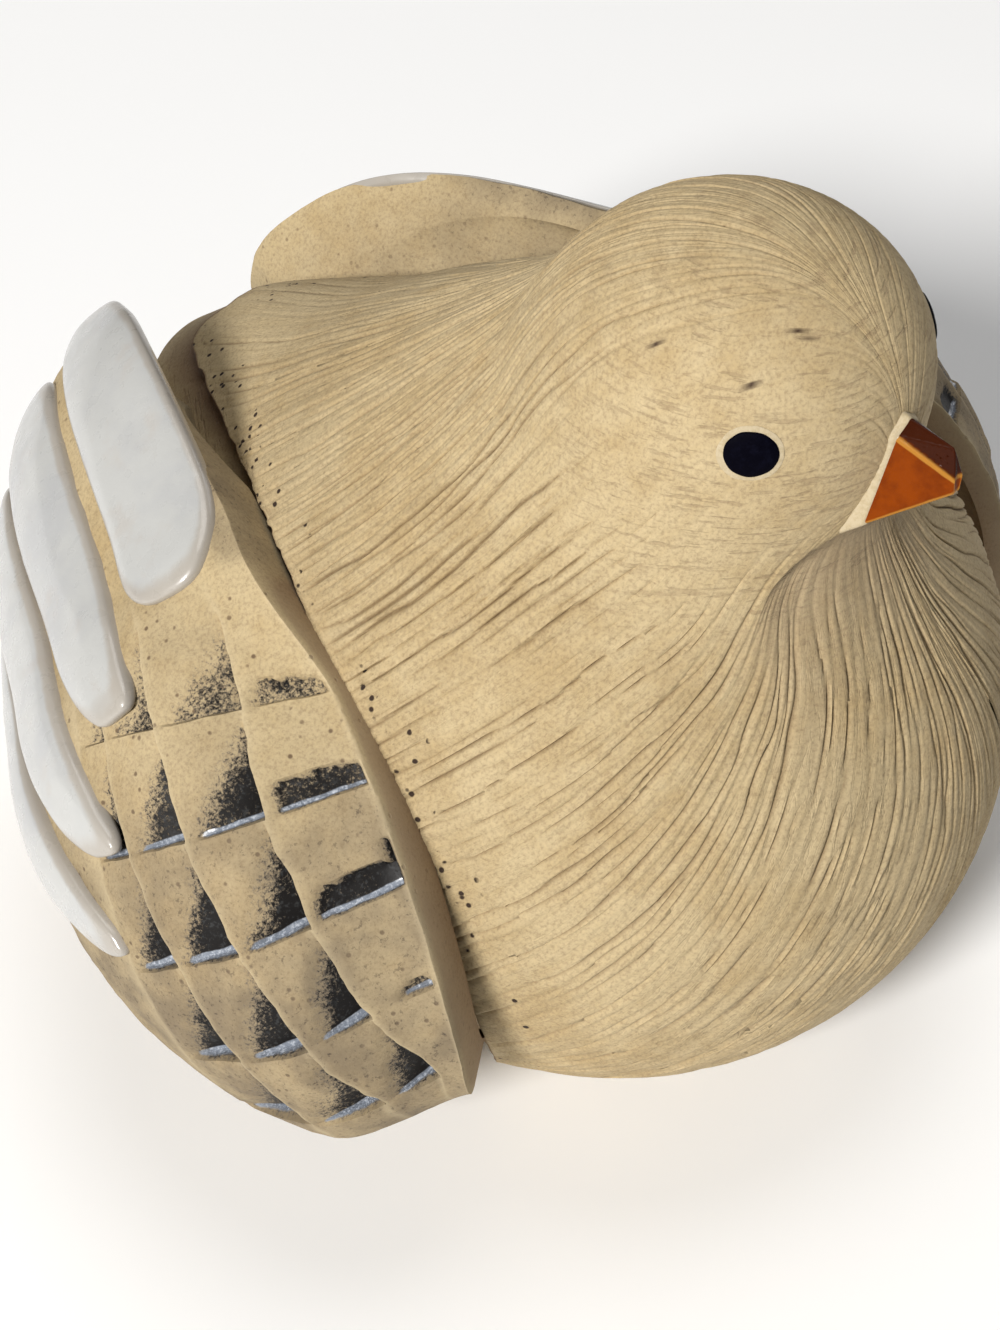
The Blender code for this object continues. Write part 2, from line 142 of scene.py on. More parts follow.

# Each glazed feather: rows where it starts and ends, height at its start, middle and end, half width,
# how much further forward its lower corner reaches, and its share of the usual rise
LEFT_FIRST_FEATHER = dict(ends=(23.4, 63.0), line=(3.0, 1.6, -5.2), half=5.2, slant=4.0, rise=0.20)
FEATHERS = (
    dict(ends=(23.4, 68.2), line=(4.3, 4.2, -1.6), half=6.7, slant=5.0, rise=1.0),
    dict(ends=(10.4, 60.0), line=(-5.5, -9.6, -11.0), half=5.4, slant=4.0, rise=1.0),
    dict(ends=(-1.7, 51.0), line=(-14.0, -20.3, -22.0), half=5.3, slant=0.0, rise=1.0),
    dict(ends=(-12.2, 41.0), line=(-20.8, -30.0, -33.0), half=5.0, slant=0.0, rise=1.0),
)

# Corners of the beak on the left side and in the middle plane: at the face and at the blunt tip
BEAK_FACE = dict(side_top=(0.0172, -0.385, 0.868), side_foot=(0.0550, -0.363, 0.760),
                 middle_top=(0.0, -0.390, 0.880), middle_foot=(0.0, -0.366, 0.757))
BEAK_TIP = dict(side_top=(0.0060, -0.452, 0.842), side_foot=(0.0055, -0.450, 0.827),
                middle_top=(0.0, -0.443, 0.873), middle_foot=(0.0, -0.450, 0.826))
# Small dark marks in the head's clay
MARKS = (
    (-0.1299, -0.2228, 0.9435), (-0.1094, -0.3067, 0.9324), (-0.0585, -0.3157, 0.9642),
    (-0.0545, -0.3227, 0.9583))
MARK_SIZE = (0.42 * MM, 0.42 * MM, 0.20 * MM)
# Height of the jaw's crease at each distance from the middle plane
JAW_LINE = (
    (0.0, 0.760), (0.053, 0.760), (0.075, 0.751), (0.090, 0.737), (0.104, 0.720), (0.122, 0.685))
EYE_AIM = (53.5, 7.5)
TAIL = dict(start=0.26, end=0.683, half_width=0.150, height=0.310, drop=0.105, bow=0.04)
TAIL_ROOT = 0.0150
TAIL_EDGE = 0.0044

# The photograph's viewpoint
VIEW_TURN = -48.0
VIEW_LIFT = 45.0
VIEW_DISTANCE = 0.215
VIEW_TARGET = (-0.0060, 0.0006, 0.0290)
LENS_SHARE = 2600 / 1330            # focal length over the picture's height


def length_setting(name, description, default, least):
    return bpy.props.FloatProperty(
        name=name, description=description, default=default, min=least, unit="LENGTH")


class DoveSizes(bpy.types.PropertyGroup):
    """Sizes a maker would change."""

    height: length_setting("Height", "From the table to the crown", 0.0788, 0.02)
    step_depth: length_setting("Cape step", "How far the core lies below the combed cape", 0.0028, 0.0)
    step_width: length_setting("Cape step width", "Run of the slope at the cape's edge", 0.0011, 0.0001)
    comb_pitch: length_setting("Comb pitch", "Usual distance between comb strokes", 0.00088, 0.0002)
    comb_depth: length_setting("Comb depth", "Depth of a full comb stroke", 0.00044, 0.0)
    chip_depth: length_setting("Chip depth", "Deepest corner of a carved tile", 0.0021, 0.0)
    wing_rim: length_setting("Wing rim", "Thickness of a wing along its free upper rim", 0.0050, 0.001)
    left_rim: length_setting("Left rim", "Thickness of the left wing along its free upper rim", 0.0024, 0.001)
    wing_root: length_setting("Wing root", "How deep a wing runs into the core", 0.0160, 0.001)
    feather_rise: length_setting("Feather rise", "How proud a glazed feather stands", 0.0014, 0.0001)
    eye_width: length_setting("Eye width", "Length of the eye's bead", 0.0036, 0.0005)
    eye_height: length_setting("Eye height", "Height of the eye's bead", 0.0032, 0.0005)


def colour_setting(name, description, default):
    return bpy.props.FloatVectorProperty(
        name=name, description=description, default=default, size=3, min=0.0, max=1.0, subtype="COLOR")


class DoveColours(bpy.types.PropertyGroup):
    """Colours of the clay and the glazes."""

    clay: colour_setting("Clay", "Cream of the fired clay", (0.450, 0.352, 0.205))
    clay_warm: colour_setting("Warm clay", "Tan patches in the clay", (0.385, 0.285, 0.150))
    # Colour laid into the comb strokes: partly real dirt, partly painted shade in the grooves
    stroke_dirt_and_shade: colour_setting("Dirt", "What lies in the comb strokes", (0.155, 0.095, 0.04))
    enamel: colour_setting("Enamel", "White glaze of the feathers", (0.47, 0.47, 0.455))
    enamel_thin: colour_setting("Thin enamel", "Where the white glaze runs thin", (0.36, 0.32, 0.27))
    chip: colour_setting("Chip glaze", "Dark glaze in the chips", (0.006, 0.006, 0.007))
    # The pooled glaze's colour is a painted bluish-white highlight, standing in for the lamp's reflection in
    # the pool
    pool: colour_setting("Pooled glaze", "Glaze pooled at a chip's foot", (0.21, 0.235, 0.28))
    beak: colour_setting("Beak", "Orange glaze of the beak", (0.210, 0.037, 0.0004))
    beak_thin: colour_setting("Thin beak glaze", "Where the orange runs thin", (0.42, 0.19, 0.030))
    eye: colour_setting("Eye", "Blue-black glaze of the eyes", (0.0012, 0.0010, 0.0035))
    floor: colour_setting("Floor", "Pale studio floor", (0.97, 0.97, 0.97))


def sizes():
    return bpy.context.scene.dove_sizes


def colours():
    return bpy.context.scene.dove_colours


def scaled(shares):
    """Turn shares of the height into metres."""
    return np.asarray(shares, dtype=float) * sizes().height


def unit(vector):
    vector = np.asarray(vector, dtype=float)
    return vector / np.linalg.norm(vector, axis=-1, keepdims=True)


def smooth_step(start, end, value):
    share = np.clip((value - start) / (end - start), 0.0, 1.0)
    return share * share * (3.0 - 2.0 * share)


def blended(first, second, reach):
    """Smooth union of two distance fields."""
    share = np.clip(0.5 + 0.5 * (second - first) / reach, 0.0, 1.0)
    return second * (1.0 - share) + first * share - reach * share * (1.0 - share)


def scattered(*keys):
    """Repeatable values between 0 and 1 for whole-number keys."""
    mixed = np.zeros(np.broadcast(*keys).shape, dtype=np.uint64)
    factors = (0x9E3779B97F4A7C15, 0xC2B2AE3D27D4EB4F, 0x165667B19E3779F9)
    with np.errstate(over="ignore"):
        for key, factor in zip(keys, factors):
            whole = np.asarray(key).astype(np.int64).astype(np.uint64) + np.uint64(77)
            mixed = mixed + whole * np.uint64(factor)
            mixed = mixed ^ (mixed >> np.uint64(29))
            mixed = mixed * np.uint64(0xBF58476D1CE4E5B9)
            mixed = mixed ^ (mixed >> np.uint64(32))
    return (mixed >> np.uint64(40)).astype(float) / float(1 << 24)


def wander(line, along, salt):
    """Smooth values between -1 and 1 that change along each numbered line."""
    cell = np.floor(along)
    share = smooth_step(0.0, 1.0, along - cell)
    before, after = (scattered(line, number, np.full_like(cell, salt)) for number in (cell, cell + 1))
    return 2.0 * (before * (1.0 - share) + after * share) - 1.0


def ripple(first, second, salt):
    """Smooth values between -1 and 1 over a plane."""
    cell = np.floor(second)
    share = smooth_step(0.0, 1.0, second - cell)
    return wander(cell, first, salt) * (1.0 - share) + wander(cell + 1, first, salt) * share


def squared(value, power):
    """A power of a value's size that keeps its sign; it draws a circle out towards a square."""
    return np.sign(value) * np.abs(value) ** power


def egg_distance(points, egg, tilt=0.0):
    offsets = points - scaled(egg["centre"])
    if tilt:
        turn, rise = math.cos(math.radians(tilt)), math.sin(math.radians(tilt))
        offsets = offsets @ np.array([[1, 0, 0], [0, turn, -rise], [0, rise, turn]])
    radii = scaled(egg["radii"])
    outer = np.linalg.norm(offsets / radii, axis=-1)
    inner = np.linalg.norm(offsets / radii ** 2, axis=-1)
    return outer * (outer - 1.0) / np.maximum(inner, 1e-9)


def neck_distance(points):
    foot, top = scaled(NECK_FOOT), scaled(NECK_TOP)
    along = np.clip(((points - foot) @ (top - foot)) / ((top - foot) @ (top - foot)), 0.0, 1.0)
    radius = scaled(NECK_FOOT_RADIUS) + (scaled(NECK_TOP_RADIUS) - scaled(NECK_FOOT_RADIUS)) * along
    return np.linalg.norm(points - foot - along[:, None] * (top - foot), axis=-1) - radius


def body_distance(points):
    trunk = blended(egg_distance(points, BREAST), egg_distance(points, FLANKS), scaled(BLEND_FLANKS))
    trunk = blended(trunk, egg_distance(points, RUMP, RUMP_TILT), scaled(BLEND_RUMP))
    head = blended(egg_distance(points, HEAD), neck_distance(points), scaled(BLEND_HEAD))
    return blended(trunk, head, scaled(BLEND_NECK))


def skin_radius(eye, directions):
    """Distance from a point inside the body to its skin in each direction."""
    near = np.zeros(len(directions))
    far = np.full(len(directions), sizes().height)
    for _ in range(22):
        middle = 0.5 * (near + far)
        inside = body_distance(eye + directions * middle[:, None]) < 0.0
        near = np.where(inside, middle, near)
        far = np.where(inside, far, middle)
    return 0.5 * (near + far)


def cape_margin(points):
    """Below zero on the combed cape, above zero outside its edge."""
    side = np.abs(points[:, 0]) * CAPE_CUT[0] + points[:, 1] * CAPE_CUT[1] + points[:, 2] * CAPE_CUT[2]
    side = side - scaled(CAPE_CUT_OFFSET)
    end = points[:, 1] - scaled(CAPE_END)
    return -blended(-side, -end, scaled(CAPE_CORNER))


def jaw_line(points):
    """Height of the jaw's crease at each distance from the middle plane."""
    out, up = zip(*JAW_LINE)
    return scaled(np.interp(np.abs(points[..., 0]) / sizes().height, out, up))


def globe_directions(polar, around):
    """Directions on a globe whose pole looks along the beak; around = 0 runs over the crown."""
    aim = math.radians(BEAK_AIM)
    pole = np.array([0.0, -math.cos(aim), math.sin(aim)])
    crown = np.array([0.0, math.sin(aim), math.cos(aim)])
    side = np.array([1.0, 0.0, 0.0])
    ring = np.cos(around)[:, None] * crown + np.sin(around)[:, None] * side
    return np.cos(polar)[:, None] * pole + np.sin(polar)[:, None] * ring


def skin_points(polar, around):
    directions = globe_directions(polar, around)
    return scaled(BODY_EYE) + directions * skin_radius(scaled(BODY_EYE), directions)[:, None]


def stroke_lean(around, polar):
    on_body, on_face = (
        np.interp(np.degrees(around), *zip(*leans), period=360.0) for leans in (STROKE_LEAN, FACE_LEAN))
    share = smooth_step(*FACE_SPAN, math.degrees(polar))
    return (on_face + (on_body - on_face) * share) * smooth_step(6.0, 16.0, math.degrees(polar))


def stroke_lines(around):
    """Trace the lines that the strokes follow: the angle around at each degree from the beak."""
    polar = np.radians(np.arange(181.0))
    lines = np.tile(np.asarray(around, dtype=float), (181, 1))
    for path in (range(LEAN_START, 180), range(LEAN_START, 0, -1)):
        for here in path:
            there = here + (1 if path.step > 0 else -1)
            step = polar[there] - polar[here]
            halfway = lines[here] + 0.5 * step * stroke_lean(lines[here], polar[here])
            lines[there] = lines[here] + step * stroke_lean(halfway, polar[here] + 0.5 * step)
    return lines


def along_lines(lines, polar):
    """Angle around on each traced line at the given angles from the beak."""
    place_on = np.clip(np.degrees(polar), 0.0, 179.999)
    before = np.floor(place_on).astype(int)
    column = np.arange(lines.shape[1])
    share = place_on - before
    return lines[before, column] * (1.0 - share) + lines[before + 1, column] * share


def cape_reach(lines):
    """Angle from the beak at which each traced line crosses the cape's edge."""
    polar = np.radians(np.arange(25.0, 180.0))
    rings = [np.full(lines.shape[1], angle) for angle in polar]
    margins = np.stack([cape_margin(skin_points(ring, along_lines(lines, ring))) for ring in rings])
    after = np.maximum(np.argmax(margins > 0.0, axis=0), 1)
    column = np.arange(lines.shape[1])
    inner, outer = margins[after - 1, column], margins[after, column]
    return polar[after - 1] + (polar[after] - polar[after - 1]) * inner / (inner - outer)


def comb_strokes(around, girth, along, jagged):
    """Depth of the comb strokes, from 0 to 1, on lines that fork as the body widens.

    girth is the local metres for each radian between the lines, along the distance from the beak.
    """
    first_count, last_level = 32, 7
    wanted = 2.0 * math.pi * girth / sizes().comb_pitch / first_count
    level = np.log2(np.maximum(wanted, 1.0))
    finer = np.clip(np.floor(level) + 1, 1, last_level)
    share = smooth_step(0.15, 0.85, np.clip(level - (finer - 1), 0.0, 1.0))
    count = first_count * 2.0 ** finer
    place = np.mod(around / (2.0 * math.pi), 1.0) * count
    spacing = 2.0 * math.pi * girth / count
    depth = np.zeros_like(around)
    for offset in (-1, 0, 1, 2):
        number = np.floor(place) + offset
        name = np.mod(number, count) * 2.0 ** (last_level - finer)
        first, second, third, fourth, firm, faint, wide = (
            wander(name, along / wave, salt) for salt, wave in enumerate(STROKE_WAVES, 1))
        drift = 0.36 * first + 0.24 * second + jagged * (0.22 * third + 0.30 * fourth)
        gap = (place - number) * spacing - drift * sizes().comb_pitch
        strength = np.clip(0.60 + 0.55 * firm + 0.30 * faint, 0.0, 1.0)
        strength = strength * np.where(np.mod(number, 2) == 0, 1.0, share)
        width = (0.125 + 0.055 * wide) * MM * (1.0 + 0.5 * jagged)
        depth = np.maximum(depth, strength * np.exp(-(gap / width) ** 2))
    return depth


def coordinates(mesh_data):
    return np.array([vertex.co[:] for vertex in mesh_data.verts])


def place(mesh_data, points):
    for vertex, point in zip(mesh_data.verts, points):
        vertex.co = point


def paint(mesh_data, name, values, kind="float"):
    """Keep a value for each corner of the mesh under a name that the materials read."""
    layer = getattr(mesh_data.verts.layers, kind).new(name)
    for vertex, value in zip(mesh_data.verts, values):
        vertex[layer] = value


def mirror(mesh_data):
    for vertex in mesh_data.verts:
        vertex.co.x = -vertex.co.x


def to_piece(mesh_data, name, material, sharp_angle=None):
    """Turn a bmesh into a finished piece of the dove."""
    bmesh.ops.recalc_face_normals(mesh_data, faces=mesh_data.faces)
    mesh = bpy.data.meshes.new(name)
    mesh_data.to_mesh(mesh)
    mesh_data.free()
    mesh.shade_smooth()
    if sharp_angle is not None:
        mesh.set_sharp_from_angle(angle=math.radians(sharp_angle))
    piece = bpy.data.objects.new(name, mesh)
    bpy.context.scene.collection.objects.link(piece)
    mesh.materials.append(material)
    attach(piece, "root")
    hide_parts("dove")


class Field:
    """A shader node's output, which can be added, multiplied and mixed like a number."""

    def __init__(self, tree, socket):
        self.tree = tree
        self.socket = socket

    def maths(self, operation, *others):
        return add(self.tree, "Math", dict(enumerate((self, *others))), operation=operation)

    def __add__(self, other):
        return self.maths("ADD", other)

    def __sub__(self, other):
        return self.maths("SUBTRACT", other)

    def __mul__(self, other):
        return self.maths("MULTIPLY", other)

    def spread(self, start, end, low=0.0, high=1.0):
        """Map smoothly from one range to another, held at both ends."""
        return add(self.tree, "MapRange", {
            "Value": self, "From Min": start, "From Max": end, "To Min": low, "To Max": high},
            interpolation_type="SMOOTHSTEP")

    def mix(self, first, second, blend="MIX"):
        """Mix two colours, with this as the share of the second."""
        mixer = add(self.tree, "Mix", data_type="RGBA", blend_type=blend).socket.node
        for name, value in (("Factor_Float", self), ("A_Color", first), ("B_Color", second)):
            connect(value, next(socket for socket in mixer.inputs if socket.identifier == name))
        result = next(socket for socket in mixer.outputs if socket.identifier == "Result_Color")
        return Field(self.tree, result)

    def noise(self, scale, detail=2.0, roughness=0.5):
        return add(self.tree, "TexNoise", {
            "Vector": self, "Scale": scale, "Detail": detail, "Roughness": roughness}, "Fac")

    def cells(self, scale, channel="Red"):
        """Distance from the nearest of many scattered points, and a number that belongs to it."""
        distance = add(self.tree, "TexVoronoi", {"Vector": self, "Scale": scale}, "Distance", feature="F1")
        colour = Field(self.tree, distance.socket.node.outputs["Color"])
        return distance, add(self.tree, "SeparateColor", {"Color": colour}, channel)


def connect(value, socket):
    """Link a field into a socket, or set the socket to a steady value or colour."""
    if isinstance(value, Field):
        value.tree.links.new(value.socket, socket)
    else:
        socket.default_value = (*value, 1.0) if socket.type == "RGBA" else value


def add(tree, kind, inputs=None, output=0, **settings):
    """Add a shader node and return one of its outputs."""
    made = tree.nodes.new("ShaderNode" + kind)
    for name, value in settings.items():
        setattr(made, name, value)
    for name, value in (inputs or {}).items():
        connect(value, made.inputs[name])
    return Field(tree, made.outputs[output])


def painted(tree, name, output="Fac"):
    return add(tree, "Attribute", output=output, attribute_name=name)


def position(tree):
    return add(tree, "TexCoord", output="Object")


def finish_of(name, **shader_values):
    """A material with its shader's steady values set; returns it with its tree and shader."""
    material = bpy.data.materials.new(name)
    material.use_nodes = True
    shader = material.node_tree.nodes["Principled BSDF"]
    for socket, value in shader_values.items():
        shader.inputs[socket.replace("_", " ")].default_value = value
    return material, material.node_tree, shader


def dress(shader, colour, roughness, height, distance, strength):
    """Link a colour, a roughness and fine relief of a given depth to a shader."""
    relief = {"Height": height, "Distance": distance, "Strength": strength}
    connect(colour, shader.inputs["Base Color"])
    connect(roughness, shader.inputs["Roughness"])
    connect(add(height.tree, "Bump", relief, "Normal"), shader.inputs["Normal"])


def new_group(name, inputs, outputs):
    """An empty shader group with named sockets, given as pairs of name and type."""
    group = bpy.data.node_groups.new(name, "ShaderNodeTree")
    for direction, sockets in (("INPUT", inputs), ("OUTPUT", outputs)):
        for socket, kind in sockets:
            group.interface.new_socket(socket, in_out=direction, socket_type="NodeSocket" + kind)
    given = group.nodes.new("NodeGroupInput")
    return [Field(group, given.outputs[socket]) for socket, _ in inputs], group.nodes.new("NodeGroupOutput")


def clay_group():
    """Sandy fired clay: its patchy colour, its grains and its dark specks."""
    if "sandy_clay" in bpy.data.node_groups:
        return bpy.data.node_groups["sandy_clay"]
    (vector, clay, warm, specks), result = new_group(
        "sandy_clay",
        (("Vector", "Vector"), ("Clay", "Color"), ("Warm", "Color"), ("Specks", "Float")),
        (("Color", "Color"), ("Height", "Float"), ("Roughness", "Float")))
    patches = vector.noise(75.0, 4.0, 0.6) * 0.65 + vector.noise(420.0, 4.0, 0.65) * 0.45
    colour = patches.spread(0.44, 0.74).mix(clay, warm)
    grain = vector.noise(3600.0, 3.0, 0.7)
    colour = grain.spread(0.35, 0.75, 0.0, 0.30).mix(colour, (1.0, 0.93, 0.76), "SOFT_LIGHT")
    colour = grain.spread(0.52, 0.30, 0.0, 0.25).mix(colour, (0.30, 0.19, 0.09), "MULTIPLY")
    distance, chosen = vector.cells(1250.0)
    dot = distance.spread(0.30, 0.12) * chosen.spread(0.80, 0.86) * specks
    colour = dot.mix(colour, (0.11, 0.065, 0.035))
    connect(colour, result.inputs["Color"])
    connect(grain * 0.45 + vector.noise(1100.0, 3.0, 0.6) * 0.75 - dot, result.inputs["Height"])
    connect(grain.spread(0.3, 0.7, 0.93, 0.80), result.inputs["Roughness"])
    return vector.tree


def clay_nodes(tree, specks):
    """Place the sandy clay group in a material."""
    where = position(tree)
    sandy = tree.nodes.new("ShaderNodeGroup")
    sandy.node_tree = clay_group()
    given = {"Vector": where, "Clay": colours().clay, "Warm": colours().clay_warm, "Specks": specks}
    for name, value in given.items():
        connect(value, sandy.inputs[name])
    return where, *(Field(tree, sandy.outputs[name]) for name in ("Color", "Height", "Roughness"))


def combed_clay():
    """The body's clay: dirt and painted shade in the strokes, painted shade under the jaw, fine scratches,
    pits by the edge, a brown step.
    """
    material, tree, shader = finish_of("combed_clay")
    where, colour, height, roughness = clay_nodes(tree, 0.15)
    comb, combed = painted(tree, "comb", "Vector"), painted(tree, "combed")
    fine = (comb.noise(1.9, 3.0, 0.62) - 0.5).maths("ABSOLUTE").spread(0.035, 0.0) * combed
    level = add(tree, "VectorMath", {0: where, 1: (330.0, 330.0, 2600.0)}, operation="MULTIPLY")
    hatch = level.noise(1.0, 3.0, 0.6).spread(0.54, 0.66) * combed.spread(0.95, 0.30, 0.25, 1.0)
    colour = (hatch * 0.40).mix(colour, (0.24, 0.165, 0.09))
    ridge = comb.noise(0.9, 2.0, 0.5).spread(0.40, 0.66, 0.0, 0.20)
    colour = ridge.mix(colour, (0.80, 0.74, 0.62), "MULTIPLY")
    # The strokes are darkened with a colour that is partly real dirt and partly painted shade in the grooves
    colour = painted(tree, "stroke").spread(0.15, 0.95, 0.0, 0.62).mix(colour, colours().stroke_dirt_and_shade)
    # Painted shade: the throat under the jaw is darkened where it lies in shade
    colour = (painted(tree, "shaded_throat") * 0.45).mix(colour, (0.26, 0.19, 0.125))
    high = add(tree, "SeparateXYZ", {0: where}, "Z").spread(0.018, 0.046)
    colour = (painted(tree, "wall") * (high * 0.38 + 0.60)).mix(colour, (0.135, 0.075, 0.040))
    distance, chosen = where.cells(1150.0)
    cluster = where.noise(150.0, 1.0).spread(0.46, 0.56) * painted(tree, "edge")
    pit = distance.spread(0.30, 0.18) * (chosen * cluster).spread(0.22, 0.28)
    colour = pit.mix(colour, (0.030, 0.015, 0.008))
    colour = painted(tree, "mark").mix(colour, (0.045, 0.022, 0.011))
    relief = height * 0.55 - fine * 0.25 - (pit * 2.5 + hatch * 0.60)
    dress(shader, colour, roughness, relief, 0.10 * MM, 0.75)
    return material


def carved_clay():
    """The wings' clay with dark glaze caught in the chips and pooled at their feet, where a bluish-white
    highlight is painted on the pool.
    """
    material, tree, shader = finish_of("carved_clay", Coat_Roughness=0.16)
    specks = painted(tree, "tiled").spread(0.0, 1.0, 0.5, 0.9)
    where, colour, height, roughness = clay_nodes(tree, specks)
    dusty = painted(tree, "grimy") * where.noise(170.0, 3.0, 0.6).spread(0.35, 0.65, 0.50, 1.0)
    colour = (dusty * 0.88).mix(colour, (0.17, 0.130, 0.082))
    grime = where.noise(2300.0, 4.0, 0.75).spread(0.56, 0.66) * dusty
    colour = (grime * 0.85).mix(colour, (0.07, 0.05, 0.035))
    colour = painted(tree, "wall").spread(0.0, 0.18, 0.0, 0.55).mix(colour, (0.17, 0.092, 0.052))
    glaze = painted(tree, "glaze")
    ragged = where.noise(3300.0, 5.0, 0.8)
    broad = where.noise(420.0, 3.0, 0.6) - 0.5
    edge = (ragged - 0.5) * 2.5 + (broad * 0.8 + glaze)
    soot = edge.spread(0.16, 0.56, 0.0, 0.72) * glaze.spread(0.02, 0.12)
    dark = edge.spread(0.38, 0.74, 0.0, 0.97) * glaze.spread(0.05, 0.25)
    glint = where.noise(2600.0, 2.0, 0.6).spread(0.52, 0.68, 0.0, 0.6)
    colour = soot.mix(colour, (0.15, 0.125, 0.10))
    colour = dark.mix(colour, glint.mix(colours().chip, (0.040, 0.042, 0.044)))
    # Painted highlight: the pooled glaze at each chip's foot is coloured bluish and silver-white like a
    # reflection of the lamp
    pool = (broad * 0.7 + painted(tree, "pool")).spread(0.45, 0.75)
    colour = pool.mix(colour, ragged.spread(0.48, 0.66).mix(colours().pool, (0.50, 0.53, 0.58)))
    colour = (painted(tree, "worn") * 0.35).mix(colour, (0.56, 0.46, 0.29))
    covered = dark.maths("MAXIMUM", pool)
    glossy = pool.mix(covered.mix(roughness, (0.42, 0.42, 0.42)), (0.12, 0.12, 0.12))
    relief = dark * 0.5 + height * covered.spread(0.0, 1.0, 0.55, 0.25)
    dress(shader, colour, glossy, relief, 0.12 * MM, 0.8)
    connect(pool * 0.8, shader.inputs["Coat Weight"])
    connect(dark.spread(0.0, 1.0, 0.4, 0.12), shader.inputs["Specular IOR Level"])
    return material


def plain_clay():
    material, tree, shader = finish_of("plain_clay")
    _, colour, height, roughness = clay_nodes(tree, 0.5)
    dress(shader, colour, roughness, height, 0.10 * MM, 0.6)
    return material


def feather_enamel():
    """Thick white glaze: thin and warm by its edge, softly clouded, with a few specks."""
    material, tree, shader = finish_of("feather_enamel", Coat_Weight=0.5, Coat_Roughness=0.12)
    where = position(tree)
    cloud = where.noise(130.0, 4.0, 0.6)
    cool = where.noise(300.0, 3.0, 0.6)
    colour = cloud.spread(0.42, 0.70, 0.0, 0.5).mix(colours().enamel, (0.37, 0.375, 0.39))
    colour = cool.spread(0.52, 0.75, 0.0, 0.4).mix(colour, (0.44, 0.40, 0.36))
    thin = (cool - 0.5) * 0.5 + painted(tree, "thin")
    colour = thin.spread(0.55, 0.95, 0.0, 0.75).mix(colour, colours().enamel_thin)
    distance, chosen = where.cells(480.0, "Green")
    dot = distance.spread(0.12, 0.05) * chosen.spread(0.90, 0.93)
    colour = (dot * 0.7).mix(colour, (0.20, 0.17, 0.14))
    uneven = where.noise(700.0, 3.0, 0.5)
    dress(shader, colour, uneven.spread(0.3, 0.7, 0.24, 0.42), uneven, 0.10 * MM, 0.35)
    return material


def beak_orange():
    """Orange glaze: darker brown on the top facet above the crease as painted shade, paler where it runs thin
    along the edges.
    """
    material, tree, shader = finish_of(
        "beak_orange", Specular_IOR_Level=0.02, Coat_Weight=0.07, Coat_Roughness=0.04)
    where = position(tree)
    cloud = where.noise(600.0, 3.0, 0.6)
    colour = cloud.spread(0.40, 0.70, 0.0, 0.6).mix(colours().beak, (0.110, 0.016, 0.0004))
    thin = (cloud - 0.5) * 0.6 + painted(tree, "thin")
    colour = thin.spread(0.35, 0.9, 0.0, 0.85).mix(colour, colours().beak_thin)
    # Painted shade: the top facet above the crease is darkened to dark brown-red
    colour = (painted(tree, "ridge") * 0.92).mix(colour, (0.024, 0.006, 0.003))
    grain = where.noise(2200.0, 2.0, 0.5)
    dress(shader, colour, grain.spread(0.3, 0.7, 0.2, 0.3), grain, 0.06 * MM, 0.3)
    return material


def eye_glaze():
    material, tree, shader = finish_of("eye_glaze", Specular_IOR_Level=0.02)
    cloud = position(tree).noise(1500.0, 4.0, 0.7)
    colour = cloud.spread(0.45, 0.7, 0.0, 0.8).mix(colours().eye, (0.003, 0.003, 0.008))
    dress(shader, colour, cloud.spread(0.3, 0.7, 0.45, 0.7), cloud, 0.08 * MM, 0.5)
    return material


def pale_slip():
    """The cream slip around each eye and along the beak's foot."""
    material, tree, shader = finish_of("pale_slip")
    grain = position(tree).noise(2400.0, 3.0, 0.7)
    colour = grain.spread(0.35, 0.7).mix((0.485, 0.40, 0.26), (0.42, 0.335, 0.20))
    dress(shader, colour, grain.spread(0.3, 0.7, 0.6, 0.85), grain, 0.10 * MM, 0.6)
    return material


